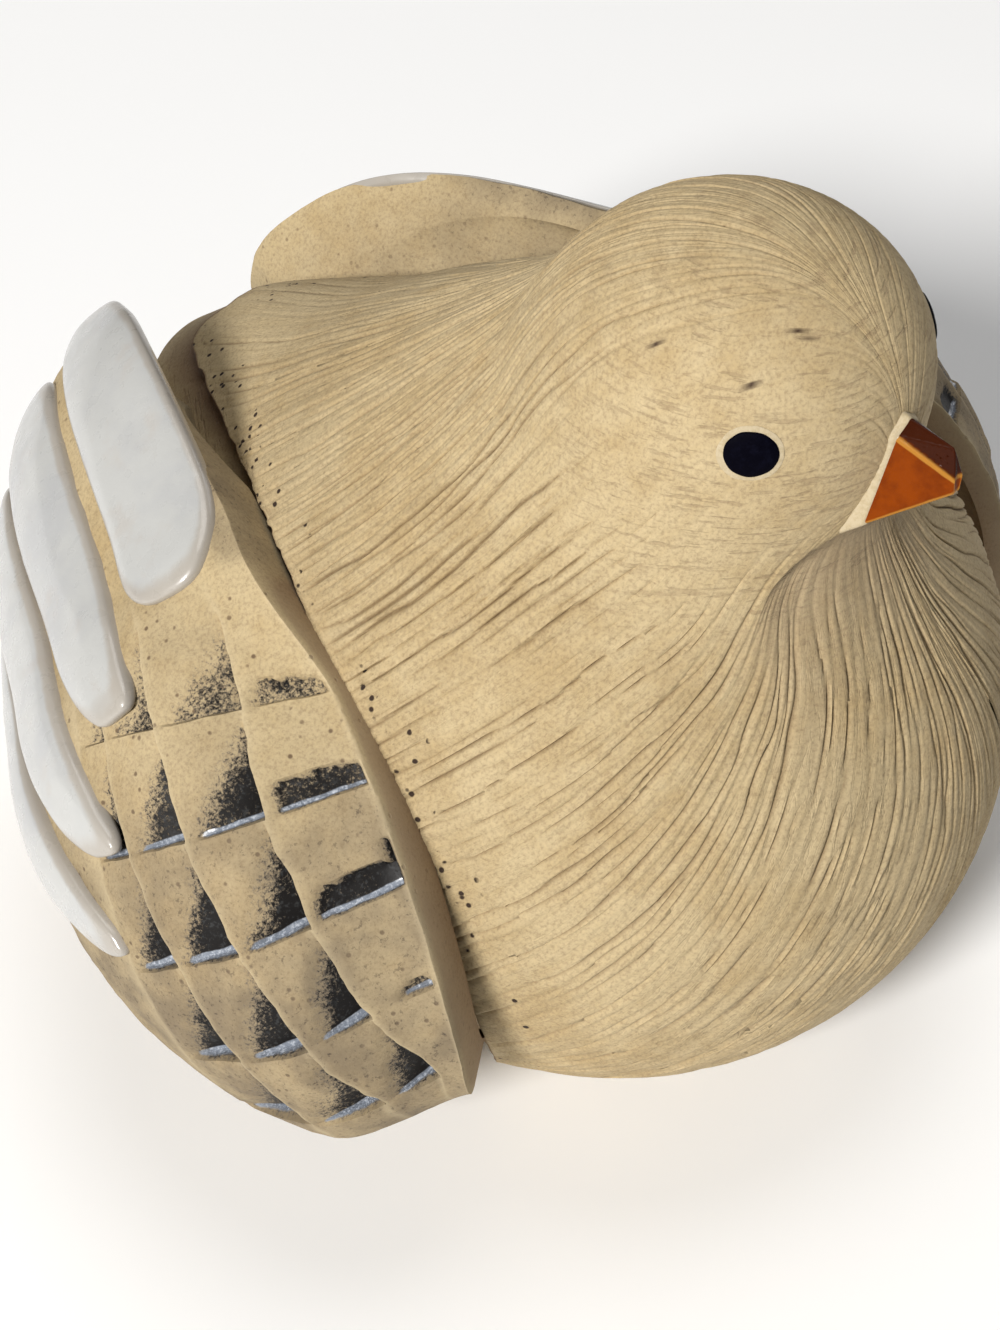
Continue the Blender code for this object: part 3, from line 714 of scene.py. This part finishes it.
class DOVE_OT_combed_body(bpy.types.Operator):
    """Body and head: comb strokes radiate from the beak to the cape's stepped edge"""

    bl_idname = "dove.combed_body"
    bl_label = "Combed body"

    columns = 1120
    cape_rows = 74
    core_rows = 8

    def execute(self, context):
        steps = len(STEP_PROFILE)
        rows = self.cape_rows + steps + self.core_rows
        mesh_data = bmesh.new()
        bmesh.ops.create_grid(mesh_data, x_segments=self.columns, y_segments=rows, size=1.0)
        grid = coordinates(mesh_data)
        row = np.rint((grid[:, 1] + 1.0) * 0.5 * rows).astype(int)
        column = np.rint((grid[:, 0] + 1.0) * 0.5 * self.columns).astype(int) % self.columns
        seam = np.flatnonzero(np.max(np.abs(grid[:, :2]), axis=1) > 0.99999)

        around = np.arange(self.columns) * 2.0 * math.pi / self.columns
        lines = stroke_lines(around)
        reach = cape_reach(lines)
        reach = reach + 0.12 * MM / scaled(0.5) * ripple(around * 26.0, np.zeros_like(around), 21)
        shares = np.linspace(0.0, 1.0, self.cape_rows + 1) ** 0.92
        polar = reach[None, :] * shares[:, None]
        width = sizes().step_width / scaled(0.5)
        down = np.zeros((rows + 1, self.columns))
        for step, (out, depth) in enumerate(STEP_PROFILE):
            polar = np.vstack([polar, reach + out * width])
            down[self.cape_rows + 1 + step] = depth
        last = polar[-1]
        for beyond in np.arange(1, self.core_rows + 1) / self.core_rows:
            polar = np.vstack([polar, last + (math.pi - last) * beyond])
        down[self.cape_rows + steps:] = 1.0
        turned = np.stack([along_lines(lines, np.minimum(angles, last)) for angles in polar])
        skin = skin_points(polar.ravel(), turned.ravel()).reshape(rows + 1, self.columns, 3)
        flat_around = np.tile(around, rows + 1)

        beside = np.roll(skin, -1, axis=1) - np.roll(skin, 1, axis=1)
        forward = unit(np.gradient(skin, axis=0) + 1e-9)
        beside = np.linalg.norm(beside - forward * np.sum(beside * forward, axis=2, keepdims=True), axis=2)
        girth = np.maximum(beside / (4.0 * math.pi / self.columns), 0.2 * MM)
        pieces = np.linalg.norm(np.diff(skin, axis=0), axis=2)
        along = np.vstack([np.zeros(self.columns), np.cumsum(pieces, axis=0)])
        left = along[self.cape_rows] - along
        behind, up = skin[:, :, 1] / sizes().height, skin[:, :, 2] / sizes().height
        below = np.where(down > 0.0, 1.0, 0.0)
        jagged = smooth_step(0.52, 0.12, up) * smooth_step(-0.10, -0.35, behind)
        stroke = comb_strokes(flat_around, girth.ravel(), along.ravel(), jagged.ravel()).reshape(girth.shape)
        face = np.linalg.norm((skin - scaled(FACE_CENTRE)) * FACE_STRETCH, axis=2)
        combed = (smooth_step(*FACE_FADE, face) * (1.0 - FACE_STROKES) + FACE_STROKES) * (1.0 - below)
        fade = smooth_step(-0.6 * MM, 1.4 * MM, left) * smooth_step(1.0 * MM, 4.0 * MM, along)
        aside, below_jaw = np.abs(skin[:, :, 0]), jaw_line(skin) - skin[:, :, 2]
        under = smooth_step(-0.3 * MM, 0.5 * MM, below_jaw) * smooth_step(-0.20, -0.30, behind)
        recess = under * smooth_step(9.0 * MM, 0.0, below_jaw) * smooth_step(9.5 * MM, 6.0 * MM, aside)
        # The throat under the jaw: it gets shallower strokes and painted shade in the clay's colour
        shaded_throat = under * smooth_step(16.0 * MM, 0.0, below_jaw) * smooth_step(13.0 * MM, 6.0 * MM, aside)
        marks = sum(np.exp(-np.sum(((skin - scaled(mark)) / MARK_SIZE) ** 2, axis=2)) for mark in MARKS)
        stroke = stroke * combed * fade * (1.0 - 0.60 * shaded_throat)
        swell = ripple(flat_around * 30.0, along.ravel() / (9 * MM), 31).reshape(girth.shape)
        uneven = ripple(flat_around * 90.0, along.ravel() / (5 * MM), 32).reshape(girth.shape)
        carved = stroke * (1.0 + 0.4 * jagged) + combed * (0.15 * uneven + 0.10 * swell + 0.2)
        sunk = sizes().step_depth * down * smooth_step(*scaled(CAPE_FADE), skin[:, :, 2])
        sunk = sunk + 1.0 * MM * recess + sizes().comb_depth * carved
        skin = skin + unit(scaled(BODY_EYE) - skin) * sunk[:, :, None]

        drum = np.stack([
            np.cos(around) * 34.0 + 0.0 * along, np.sin(around) * 34.0 + 0.0 * along,
            along / MM * 0.10], axis=2)
        place(mesh_data, skin[row, column])
        for name, values in (
                ("stroke", stroke), ("combed", combed * fade),
                ("wall", np.clip(below - smooth_step(0.0, 5.0 * MM, -left - 3.0 * MM), 0.0, 1.0)),
                ("edge", (1.0 - below) * smooth_step(7.0 * MM, 1.0 * MM, left)),
                ("shaded_throat", shaded_throat), ("mark", np.clip(5.0 * marks - 1.2, 0.0, 1.0))):
            paint(mesh_data, name, values[row, column])
        paint(mesh_data, "comb", drum[row, column], "float_vector")
        mesh_data.verts.ensure_lookup_table()
        bmesh.ops.remove_doubles(
            mesh_data, verts=[mesh_data.verts[number] for number in seam], dist=0.001 * MM)
        cut = bmesh.ops.bisect_plane(
            mesh_data, geom=mesh_data.verts[:] + mesh_data.edges[:] + mesh_data.faces[:],
            plane_co=(0, 0, 0), plane_no=(0, 0, 1), clear_inner=True)
        rim = [piece for piece in cut["geom_cut"] if isinstance(piece, bmesh.types.BMEdge)]
        bmesh.ops.triangle_fill(mesh_data, edges=rim, use_beauty=True)
        to_piece(mesh_data, "combed_body", combed_clay(), 50.0)
        return {"FINISHED"}


def wing_frame():
    out = unit(WING_OUT)
    back = np.asarray(WING_BACK, dtype=float)
    back = unit(back - out * (back @ out))
    return out, back, np.cross(out, back)


def rim_height(row, bends=RIM_BEND):
    before, behind = bends
    bend = np.where(row < RIM_PEAK[0], before, behind)
    return RIM_PEAK[1] - bend * (row - RIM_PEAK[0]) ** 2


def wing_points(row, height, rise=0.0, bends=RIM_BEND):
    """Points on a wing's outer skin at chart positions, raised or sunk by rise."""
    out, back, across = wing_frame()
    length = row - ROW_SLANT * height
    swing, lift = np.radians(length), np.radians(height)
    level = np.cos(swing)[:, None] * out + np.sin(swing)[:, None] * back
    directions = np.cos(lift)[:, None] * level + np.sin(lift)[:, None] * across
    radii = 1.0 / np.linalg.norm(directions / scaled(WING_RADII), axis=-1)
    flare = smooth_step(*TIP_FLARE_SPAN, length) * smooth_step(*TIP_FLARE_HEIGHTS, height)
    dip = smooth_step(*SHOULDER_BAND, rim_height(row, bends) - height) * smooth_step(*SHOULDER_ROWS, row)
    to_edge = np.minimum(height - LOWER_EDGE, row - FRONT_EDGE) / EDGE_BAND
    turn_in = 1.0 - np.sqrt(1.0 - (1.0 - np.clip(to_edge, 0.0, 1.0)) ** 2)
    radii = radii + scaled(TIP_FLARE) * flare - scaled(SHOULDER_DROP) * dip - scaled(EDGE_ROUNDING) * turn_in
    return scaled(WING_CENTRE) + directions * (radii + rise)[:, None]


def rear_end(height):
    furthest, middle = REAR_EDGE
    below, above = REAR_BEND
    return (furthest - below * np.maximum(0.0, middle - height) ** 2
            - above * np.maximum(0.0, height - middle) ** 2)


def column_height(line, row, bends=RIM_BEND):
    if line == 0:
        return rim_height(row, bends)
    if line > len(COLUMN_LINES):
        return np.full_like(row, LOWER_EDGE)
    level, slope, bend = COLUMN_LINES[line - 1]
    tiled = np.clip(row, LAST_ROW, FIRST_ROW)
    height = level + slope * tiled + bend * tiled ** 2
    rim_there, rim_here = rim_height(tiled, bends), rim_height(row, bends)
    share = (rim_there - height) / (rim_there - LOWER_EDGE)
    return rim_here - share * (rim_here - LOWER_EDGE)


def chart_height(column, row, bends=RIM_BEND):
    lines = np.stack([column_height(line, row, bends) for line in range(len(COLUMN_LINES) + 2)])
    lower = np.minimum(np.floor(column).astype(int), len(COLUMN_LINES))
    pick = np.arange(len(row))
    return lines[lower, pick] + (lines[lower + 1, pick] - lines[lower, pick]) * (column - lower)


def chips(column, row):
    """Carving depth from 0 to 1, glaze strength, and pooling with its painted highlight, at chart positions.

    A chip falls towards the front inner corner of its tile. Beside the cape it is a flat strip.
    """
    tile_row = (FIRST_ROW - row) / ROW_PITCH
    number = np.clip(np.floor(tile_row), 0, ROWS - 1).astype(int)
    forward = tile_row - np.floor(tile_row)
    across = np.clip(np.ceil(column) - 1, 0, len(COLUMN_LINES) - 1).astype(int)
    inward = np.ceil(column) - column
    tiled = (tile_row >= 0.0) & (tile_row < ROWS - 0.001) & (column > 0.0) & (column <= len(COLUMN_LINES))
    strength = np.array(CHIP_GLAZE)[number, across]
    cut = np.clip(forward + inward - 1.0 + 0.03 * ripple(column * 7.0, tile_row * 7.0, 43), 0.0, 1.0)
    top, left, right = np.array(STRIPS)[number].T
    tile = number.astype(float)
    wavy = 0.035 * ripple(column * 9.0, tile, 41) + 0.015 * ripple(column * 31.0, tile, 42)
    middle = np.clip((inward - left) / (right - left), 0.0, 1.0)
    top = top + wavy - 0.07 * np.sin(middle ** 0.7 * math.pi)
    within = smooth_step(left - 0.02, left + 0.03, inward) * smooth_step(right + 0.02, right - 0.03, inward)
    strip = smooth_step(top, top + 0.035, forward) * within * smooth_step(0.995, 0.975, forward)
    hook = (number == 2) * smooth_step(0.50, 0.56, forward)
    hook = hook * smooth_step(0.86, 0.89, inward) * smooth_step(0.96, 0.93, inward)
    strip = np.where(strength > 0.0, np.maximum(strip, hook), 0.0)
    # The foot of each chip, where the glaze pools and its highlight is painted
    foot = smooth_step(0.90, 0.96, forward)
    flat = np.stack([0.38 * strip, strip * (0.15 + 0.85 * strength), 0.9 * strip * foot * (strength > 0.5)])
    chipped = np.stack([
        cut, smooth_step(-0.04, 0.52, cut) * (0.22 + 0.85 * strength),
        foot * smooth_step(0.06, 0.30, cut) * (strength > 0.45)])
    depth, glaze, pool = np.where(tiled, np.where(across == 0, flat, chipped), 0.0)
    return depth, glaze, pool * np.array(POOLS_AND_HIGHLIGHTS)[number]


def handmade(row, height, salt, broad, fine):
    """A carver's unevenness: broad and fine waves, each given as its length and its amount."""
    return sum(amount * ripple(row / length, height / length, salt + number)
               for number, (length, amount) in enumerate((broad, fine)))


class DOVE_OT_wings(bpy.types.Operator):
    """Both wings: thick clay slabs with chip-carved tiles and a thin free rim"""

    bl_idname = "dove.wings"
    bl_label = "Carved wings"

    tile_rows = 22
    tile_columns = 17
    rear_lines = 44
    lower_lines = 26

    def tile_lines(self, count):
        """Shares of a tile at which its lines lie, close together on the wall."""
        return np.concatenate([
            [0.0, WALL_SHARE * 0.5, WALL_SHARE], np.linspace(WALL_SHARE, 1.0, count)[1:-1]])

    def lines(self):
        """Positions of the mesh's lines along and across the chart."""
        nose = LAST_ROW + (FRONT_EDGE - LAST_ROW) * np.sin(np.linspace(0.5, 0.0, 12) * math.pi)[:-1]
        tiles = np.concatenate([
            LAST_ROW + (tile + self.tile_lines(self.tile_rows)) * ROW_PITCH for tile in range(ROWS)])
        rows = np.concatenate([nose, tiles, np.full(self.rear_lines, FIRST_ROW)])
        rear = 1.0 - (1.0 - np.linspace(0.0, 1.0, self.rear_lines)) ** 1.15
        rear = np.concatenate([np.zeros(len(nose) + len(tiles)), rear])
        columns = [tile + self.tile_lines(self.tile_columns) for tile in range(len(COLUMN_LINES))]
        lower = np.sin(np.linspace(0.0, 0.5, self.lower_lines) * math.pi)
        return rows, rear, np.concatenate([*columns, len(COLUMN_LINES) + lower])

    def execute(self, context):
        rows, rear, columns = self.lines()
        material = carved_clay()
        for side, sign, bends, rim_thickness in (
                ("left", 1.0, LEFT_RIM_BEND, sizes().left_rim), ("right", -1.0, RIM_BEND, sizes().wing_rim)):
            mesh_data = bmesh.new()
            across, along = len(columns) - 1, len(rows) - 1
            bmesh.ops.create_grid(mesh_data, x_segments=across, y_segments=along, size=1.0)
            inner_side = bmesh.ops.extrude_face_region(mesh_data, geom=mesh_data.faces[:], use_keep_orig=True)
            corners = [piece for piece in inner_side["geom"] if isinstance(piece, bmesh.types.BMVert)]
            bmesh.ops.translate(mesh_data, verts=corners, vec=(0.0, 0.0, -1.0))
            grid = coordinates(mesh_data)
            column = columns[np.rint((grid[:, 0] + 1.0) * 0.5 * across).astype(int)]
            step = np.rint((grid[:, 1] + 1.0) * 0.5 * along).astype(int)
            there = chart_height(column, np.full_like(column, FIRST_ROW), bends)
            row = rows[step] + rear[step] * (rear_end(there) - FIRST_ROW)
            height = chart_height(column, row, bends)
            to_rim = rim_height(row, bends) - height
            inner = grid[:, 2] < -0.5
            plain = (sign > 0) & (row > FIRST_ROW - 2 * ROW_PITCH) & (column < 1.0)
            depth, glaze, pool = (np.where(plain, 0.0, values) for values in chips(column, row))
            depth = sizes().chip_depth * depth
            salt = 50 if sign > 0 else 60
            free = smooth_step(0.0, 3.0, to_rim) * smooth_step(0.0, 3.0, row - FRONT_EDGE) * ~inner
            drift = handmade(row, height, salt, (4.5, 0.22), (1.3, 0.10)) * free
            lean = handmade(row, height, salt + 2, (5.0, 0.22), (1.4, 0.10)) * free
            lump = handmade(row, height, salt + 4, (3.0, 0.10 * MM), (0.9, 0.04 * MM))
            deeper = (sizes().wing_root - rim_thickness) * smooth_step(0.0, ROOT_BAND, to_rim)
            rise = np.where(inner, -rim_thickness - deeper, -depth - 0.12 * MM + lump)
            place(mesh_data, wing_points(row + drift, height + lean, rise, bends))
            ahead = smooth_step(30.0, 22.0, row)
            tiled = ahead * smooth_step(len(COLUMN_LINES) + 0.6, len(COLUMN_LINES), column)
            on_line = smooth_step(0.5, 0.1, np.abs(column - np.rint(column)) * 6.0)
            grimy = (0.25 + 0.75 * smooth_step(12.0, -15.0, row)) * ahead
            grimy = grimy * (1.0 - 0.6 * smooth_step(1.1, 0.9, column) * smooth_step(-5.0, 5.0, row))
            by_rim = 0.9 * smooth_step(5.0, 2.0, to_rim) * smooth_step(26.0, 34.0, row)
            beside = smooth_step(0.6, 0.0, column) * smooth_step(30.0, 18.0, row)
            for name, outside, inside in (
                    ("glaze", glaze, 0.0), ("pool", pool, 0.0), ("tiled", tiled, 0.0),
                    ("wall", 0.0, beside),
                    ("worn", on_line * tiled * (depth < 0.02 * MM), 0.0),
                    ("grimy", np.maximum(grimy, by_rim), 0.5)):
                paint(mesh_data, name, np.where(inner, inside, outside))
            outer = [vertex for vertex, hidden in zip(mesh_data.verts, inner) if not hidden]
            bmesh.ops.smooth_vert(
                mesh_data, verts=outer, factor=0.16, use_axis_x=True, use_axis_y=True, use_axis_z=True)
            if sign < 0:
                mirror(mesh_data)
            to_piece(mesh_data, side + "_wing", material, 42.0)
        return {"FINISHED"}


def feather_line(feather, share):
    front, middle, rear = feather["line"]
    bend = 2.0 * (front + rear - 2.0 * middle)
    return front + (rear - front - bend) * share + bend * share ** 2


class DOVE_OT_feathers(bpy.types.Operator):
    """Four raised feathers of thick white glaze on each wing"""

    bl_idname = "dove.feathers"
    bl_label = "Glazed feathers"

    def execute(self, context):
        material = feather_enamel()
        for side, sign in (("left", 1.0), ("right", -1.0)):
            for number, feather in enumerate(FEATHERS, 1):
                if side == "left" and number == 1:
                    feather = LEFT_FIRST_FEATHER
                mesh_data = bmesh.new()
                bmesh.ops.create_uvsphere(mesh_data, u_segments=112, v_segments=40, radius=1.0)
                globe = coordinates(mesh_data)
                distance = np.linalg.norm(globe[:, :2], axis=1)
                angle = np.arctan2(globe[:, 1], globe[:, 0])
                salt = 70 + number + (10 if sign > 0 else 0)
                wobble = 1.0 + 0.02 * ripple(np.cos(angle) * 3.0, np.sin(angle) * 3.0, salt)
                along, across = (
                    distance * wobble * squared(turn, 0.62) for turn in (np.cos(angle), np.sin(angle)))
                start, end = feather["ends"]
                row = start + (end - start) * 0.5 * (along + 1.0)
                row = row + feather["slant"] * 0.5 * (across + 0.8) * smooth_step(0.0, -0.9, along)
                taper = 1.0 - 0.18 * smooth_step(0.2, -1.0, along) if number > 1 else 1.0
                height = feather_line(feather, 0.5 * (along + 1.0)) + across * feather["half"] * taper
                dome = np.abs(globe[:, 2]) ** 0.55
                proud = sizes().feather_rise * feather["rise"]
                rise = np.where(globe[:, 2] > 0.0, proud, -1.6 * MM) * dome
                rise = rise + 0.07 * MM * ripple(row / 4.0, height / 3.0, salt + 3) * dome
                place(mesh_data, wing_points(row, height, rise))
                paint(mesh_data, "thin", smooth_step(0.72, 1.0, distance))
                if sign < 0:
                    mirror(mesh_data)
                to_piece(mesh_data, "%s_feather_%d" % (side, number), material)
        return {"FINISHED"}


class DOVE_OT_beak(bpy.types.Operator):
    """A short wedge of a beak: orange glaze over a foot of bare clay"""

    bl_idname = "dove.beak"
    bl_label = "Beak"

    def wedge(self, widen, start, end):
        """A five-sided wedge between two shares of the way from the face to the blunt tip."""
        mesh_data = bmesh.new()
        bmesh.ops.create_cube(mesh_data, size=2.0)
        bmesh.ops.bisect_plane(
            mesh_data, geom=mesh_data.verts[:] + mesh_data.edges[:] + mesh_data.faces[:],
            plane_co=(0, 0, 0), plane_no=(1, 0, 0))
        for vertex in mesh_data.verts:
            side, front, top = vertex.co
            corner = ("side" if abs(side) > 0.5 else "middle") + ("_top" if top > 0 else "_foot")
            base, tip = scaled(BEAK_FACE[corner]), scaled(BEAK_TIP[corner])
            share = (start if front > 0 else end)[0 if top > 0 else 1]
            point = base + (tip - base) * share + np.array([0.0, 0.0, widen * top])
            vertex.co = (side * (point[0] + widen), point[1], point[2])
        return mesh_data

    def execute(self, context):
        for name, widen, start, end, material, slot in (
                ("beak_foot", 0.10 * MM, (-0.35, -0.35), (0.14, 0.30), pale_slip(), "bisque_clay"),
                ("beak_glaze", 0.0, (0.07, 0.14), (1.0, 1.0), beak_orange(), "orange_glaze")):
            mesh_data = self.wedge(widen, start, end)
            bmesh.ops.bevel(
                mesh_data, geom=mesh_data.edges[:], offset=0.28 * MM, offset_type="OFFSET", segments=4,
                profile=0.5, affect="EDGES", clamp_overlap=True, material=-1)
            bmesh.ops.triangulate(mesh_data, faces=mesh_data.faces[:])
            for _ in range(5):
                long_edges = [edge for edge in mesh_data.edges if edge.calc_length() > 0.28 * MM]
                bmesh.ops.subdivide_edges(mesh_data, edges=long_edges, cuts=1)
                bmesh.ops.triangulate(
                    mesh_data, faces=[face for face in mesh_data.faces if len(face.verts) > 3])
            points = coordinates(mesh_data)
            face, tip = scaled(BEAK_FACE["side_top"]), scaled(BEAK_TIP["side_top"])
            crease = np.interp(-points[:, 1], (-face[1], -tip[1]), (face[2], tip[2]))
            above = points[:, 2] - crease
            foot, nib = scaled(BEAK_FACE["side_foot"]), scaled(BEAK_TIP["side_foot"])
            lower = points[:, 2] - np.interp(-points[:, 1], (-foot[1], -nib[1]), (foot[2], nib[2]))
            # ridge marks the top facet above the crease, which the orange glaze darkens as painted shade
            paint(mesh_data, "ridge", smooth_step(0.05 * MM, 0.30 * MM, above))
            border = np.minimum(np.abs(above), np.abs(lower) * 0.8)
            border = np.minimum(border, np.abs(points[:, 1] - tip[1]) * 1.3)
            paint(mesh_data, "thin", smooth_step(0.42 * MM, 0.05 * MM, border))
            to_piece(mesh_data, name, material)
        return {"FINISHED"}


class DOVE_OT_eyes(bpy.types.Operator):
    """A dark glazed bead in a ring of pale slip on each side of the head"""

    bl_idname = "dove.eyes"
    bl_label = "Eyes"

    def lens(self, sign, widen, rise, root, salt):
        """A rounded disc that follows the head, given its size against the eye's."""
        turn, lift = (math.radians(angle) for angle in EYE_AIM)
        aim = np.array([math.sin(turn) * math.cos(lift), -math.cos(turn) * math.cos(lift), math.sin(lift)])
        level = unit(np.cross((0.0, 0.0, 1.0), aim))
        upright = np.cross(aim, level)
        mesh_data = bmesh.new()
        bmesh.ops.create_uvsphere(mesh_data, u_segments=72, v_segments=28, radius=1.0)
        globe = coordinates(mesh_data)
        angle = np.arctan2(globe[:, 1], globe[:, 0])
        outline = 1.0 + 0.035 * ripple(np.cos(angle) * 2.2, np.sin(angle) * 2.2, salt)
        half_width, half_height = sizes().eye_width / 2 + widen, sizes().eye_height / 2 + widen
        offsets = globe[:, :1] * level * half_width + globe[:, 1:2] * upright * half_height
        centre = scaled(HEAD["centre"])
        directions = unit(aim * scaled(HEAD["radii"][0]) + offsets * outline[:, None])
        outer = centre + directions * skin_radius(centre, directions)[:, None]
        raised = np.where(globe[:, 2] > 0.0, rise, -root) * np.abs(globe[:, 2]) ** 0.6
        place(mesh_data, outer + directions * raised[:, None])
        if sign < 0:
            mirror(mesh_data)
        return mesh_data

    def execute(self, context):
        dark, pale = eye_glaze(), pale_slip()
        for side, sign in (("left", 1.0), ("right", -1.0)):
            ring = self.lens(sign, 0.40 * MM, 0.06 * MM, 1.0 * MM, 81)
            to_piece(ring, side + "_eye_ring", pale)
            bead = self.lens(sign, 0.0, 0.30 * MM, 0.9 * MM, 82)
            to_piece(bead, side + "_eye", dark)
        return {"FINISHED"}


class DOVE_OT_tail(bpy.types.Operator):
    """A short plain tail of clay, low between the wings"""

    bl_idname = "dove.tail"
    bl_label = "Tail"

    def execute(self, context):
        start, end = scaled(TAIL["start"]), scaled(TAIL["end"])
        mesh_data = bmesh.new()
        bmesh.ops.create_uvsphere(mesh_data, u_segments=160, v_segments=60, radius=1.0)
        globe = coordinates(mesh_data)
        distance = np.linalg.norm(globe[:, :2], axis=1)
        angle = np.arctan2(globe[:, 0], globe[:, 1])
        reach = 0.5 * (distance * squared(np.cos(angle), 0.6) + 1.0)
        across = distance * squared(np.sin(angle), 0.6)
        width = scaled(TAIL["half_width"]) * (0.6 + 0.4 * reach)
        thickness = (TAIL_ROOT + (TAIL_EDGE - TAIL_ROOT) * reach) / 2
        upward = squared(globe[:, 2], 0.6)
        quill = np.abs(np.sin(across * 3.5 * math.pi / 2.0)) ** 0.5
        thickness = thickness - 0.45 * MM * (1.0 - quill) * smooth_step(0.3, 0.6, reach) * np.abs(upward)
        place(mesh_data, np.stack([
            across * width,
            start + (end - start) * reach - scaled(TAIL["bow"]) * across ** 2 * reach,
            scaled(TAIL["height"]) + thickness * upward - scaled(TAIL["drop"]) * reach,
        ], axis=1))
        to_piece(mesh_data, "tail", plain_clay())
        return {"FINISHED"}


class DOVE_OT_stage(bpy.types.Operator):
    """Pale floor, soft studio light and the camera"""

    bl_idname = "dove.stage"
    bl_label = "Stage"

    def lamp(self, name, place_at, aim_at, size, power, tint):
        light = bpy.data.lights.new(name, "AREA")
        light.shape = "DISK"
        light.size = size
        light.energy = power
        light.color = tint
        lamp = bpy.data.objects.new(name, light)
        bpy.context.scene.collection.objects.link(lamp)
        lamp.location = place_at
        lamp.rotation_euler = (Vector(aim_at) - Vector(place_at)).to_track_quat("-Z", "Y").to_euler()

    def execute(self, context):
        turn, lift = math.radians(VIEW_TURN), math.radians(VIEW_LIFT)
        back = Vector((math.sin(turn) * math.cos(lift), -math.cos(turn) * math.cos(lift), math.sin(lift)))
        right = Vector((math.cos(turn), math.sin(turn), 0.0))
        up = back.cross(right)
        spot = Vector(VIEW_TARGET) + back * VIEW_DISTANCE
        lens = bpy.data.cameras.new("camera")
        lens.sensor_fit = "VERTICAL"
        lens.sensor_height = 36.0
        lens.lens = 36.0 * LENS_SHARE
        lens.clip_start = 0.01
        camera = bpy.data.objects.new("camera", lens)
        context.scene.collection.objects.link(camera)
        camera.matrix_world = Matrix((
            (right.x, up.x, back.x, spot.x), (right.y, up.y, back.y, spot.y),
            (right.z, up.z, back.z, spot.z), (0.0, 0.0, 0.0, 1.0)))
        context.scene.camera = camera

        aim = (0.0, 0.0, 0.04)
        key = Vector(aim) + (back - right * 0.48 - up * 0.13).normalized() * 1.40
        self.lamp("key", key, aim, 0.34, 24.0, (1.0, 0.985, 0.96))
        fill = Vector(aim) + (right * 0.7 - back * 0.25 + up * 0.9).normalized() * 1.3
        self.lamp("fill", fill, aim, 0.6, 1.4, (0.97, 0.98, 1.0))
        self.lamp("top", (0.28, 0.22, 1.30), aim, 0.9, 5.8, (1.0, 0.99, 0.97))
        context.scene.view_settings.view_transform = "Standard"

        world = bpy.data.worlds.new("studio")
        world.use_nodes = True
        world.node_tree.nodes["Background"].inputs["Color"].default_value = (0.93, 0.95, 1.0, 1.0)
        world.node_tree.nodes["Background"].inputs["Strength"].default_value = 0.07
        context.scene.world = world

        floor_data = bmesh.new()
        bmesh.ops.create_grid(floor_data, x_segments=1, y_segments=1, size=3.0)
        mesh = bpy.data.meshes.new("floor")
        floor_data.to_mesh(mesh)
        floor_data.free()
        floor = bpy.data.objects.new("floor", mesh)
        context.scene.collection.objects.link(floor)
        material, tree, shader = finish_of("floor_paper", Roughness=0.9)
        paper = position(tree).noise(40.0, 3.0, 0.5).spread(0.3, 0.7, 0.0, 0.06)
        connect(paper.mix(colours().floor, (0.94, 0.94, 0.94)), shader.inputs["Base Color"])
        mesh.materials.append(material)
        return {"FINISHED"}


class DOVE_PT_panel(bpy.types.Panel):
    """Sizes, colours and the building steps"""

    bl_label = "Carved clay dove"
    bl_idname = "DOVE_PT_panel"
    bl_space_type = "VIEW_3D"
    bl_region_type = "UI"
    bl_category = "Dove"

    def draw(self, context):
        for settings in (context.scene.dove_sizes, context.scene.dove_colours):
            box = self.layout.box()
            for name in settings.__annotations__:
                box.prop(settings, name)
        for operator in OPERATORS:
            self.layout.operator(operator.bl_idname)


OPERATORS = (
    DOVE_OT_combed_body, DOVE_OT_wings, DOVE_OT_feathers, DOVE_OT_beak, DOVE_OT_eyes, DOVE_OT_tail,
    DOVE_OT_stage)
CLASSES = (DoveSizes, DoveColours) + OPERATORS + (DOVE_PT_panel,)


def register():
    for one in CLASSES:
        bpy.utils.register_class(one)
    bpy.types.Scene.dove_sizes = bpy.props.PointerProperty(type=DoveSizes)
    bpy.types.Scene.dove_colours = bpy.props.PointerProperty(type=DoveColours)


def unregister():
    del bpy.types.Scene.dove_colours
    del bpy.types.Scene.dove_sizes
    for one in reversed(CLASSES):
        bpy.utils.unregister_class(one)


def main():
    register()
    bpy.ops.dove.combed_body()
    bpy.ops.dove.wings()
    bpy.ops.dove.feathers()
    bpy.ops.dove.beak()
    bpy.ops.dove.eyes()
    bpy.ops.dove.tail()
    bpy.ops.dove.stage()


if __name__ == "__main__":
    main()
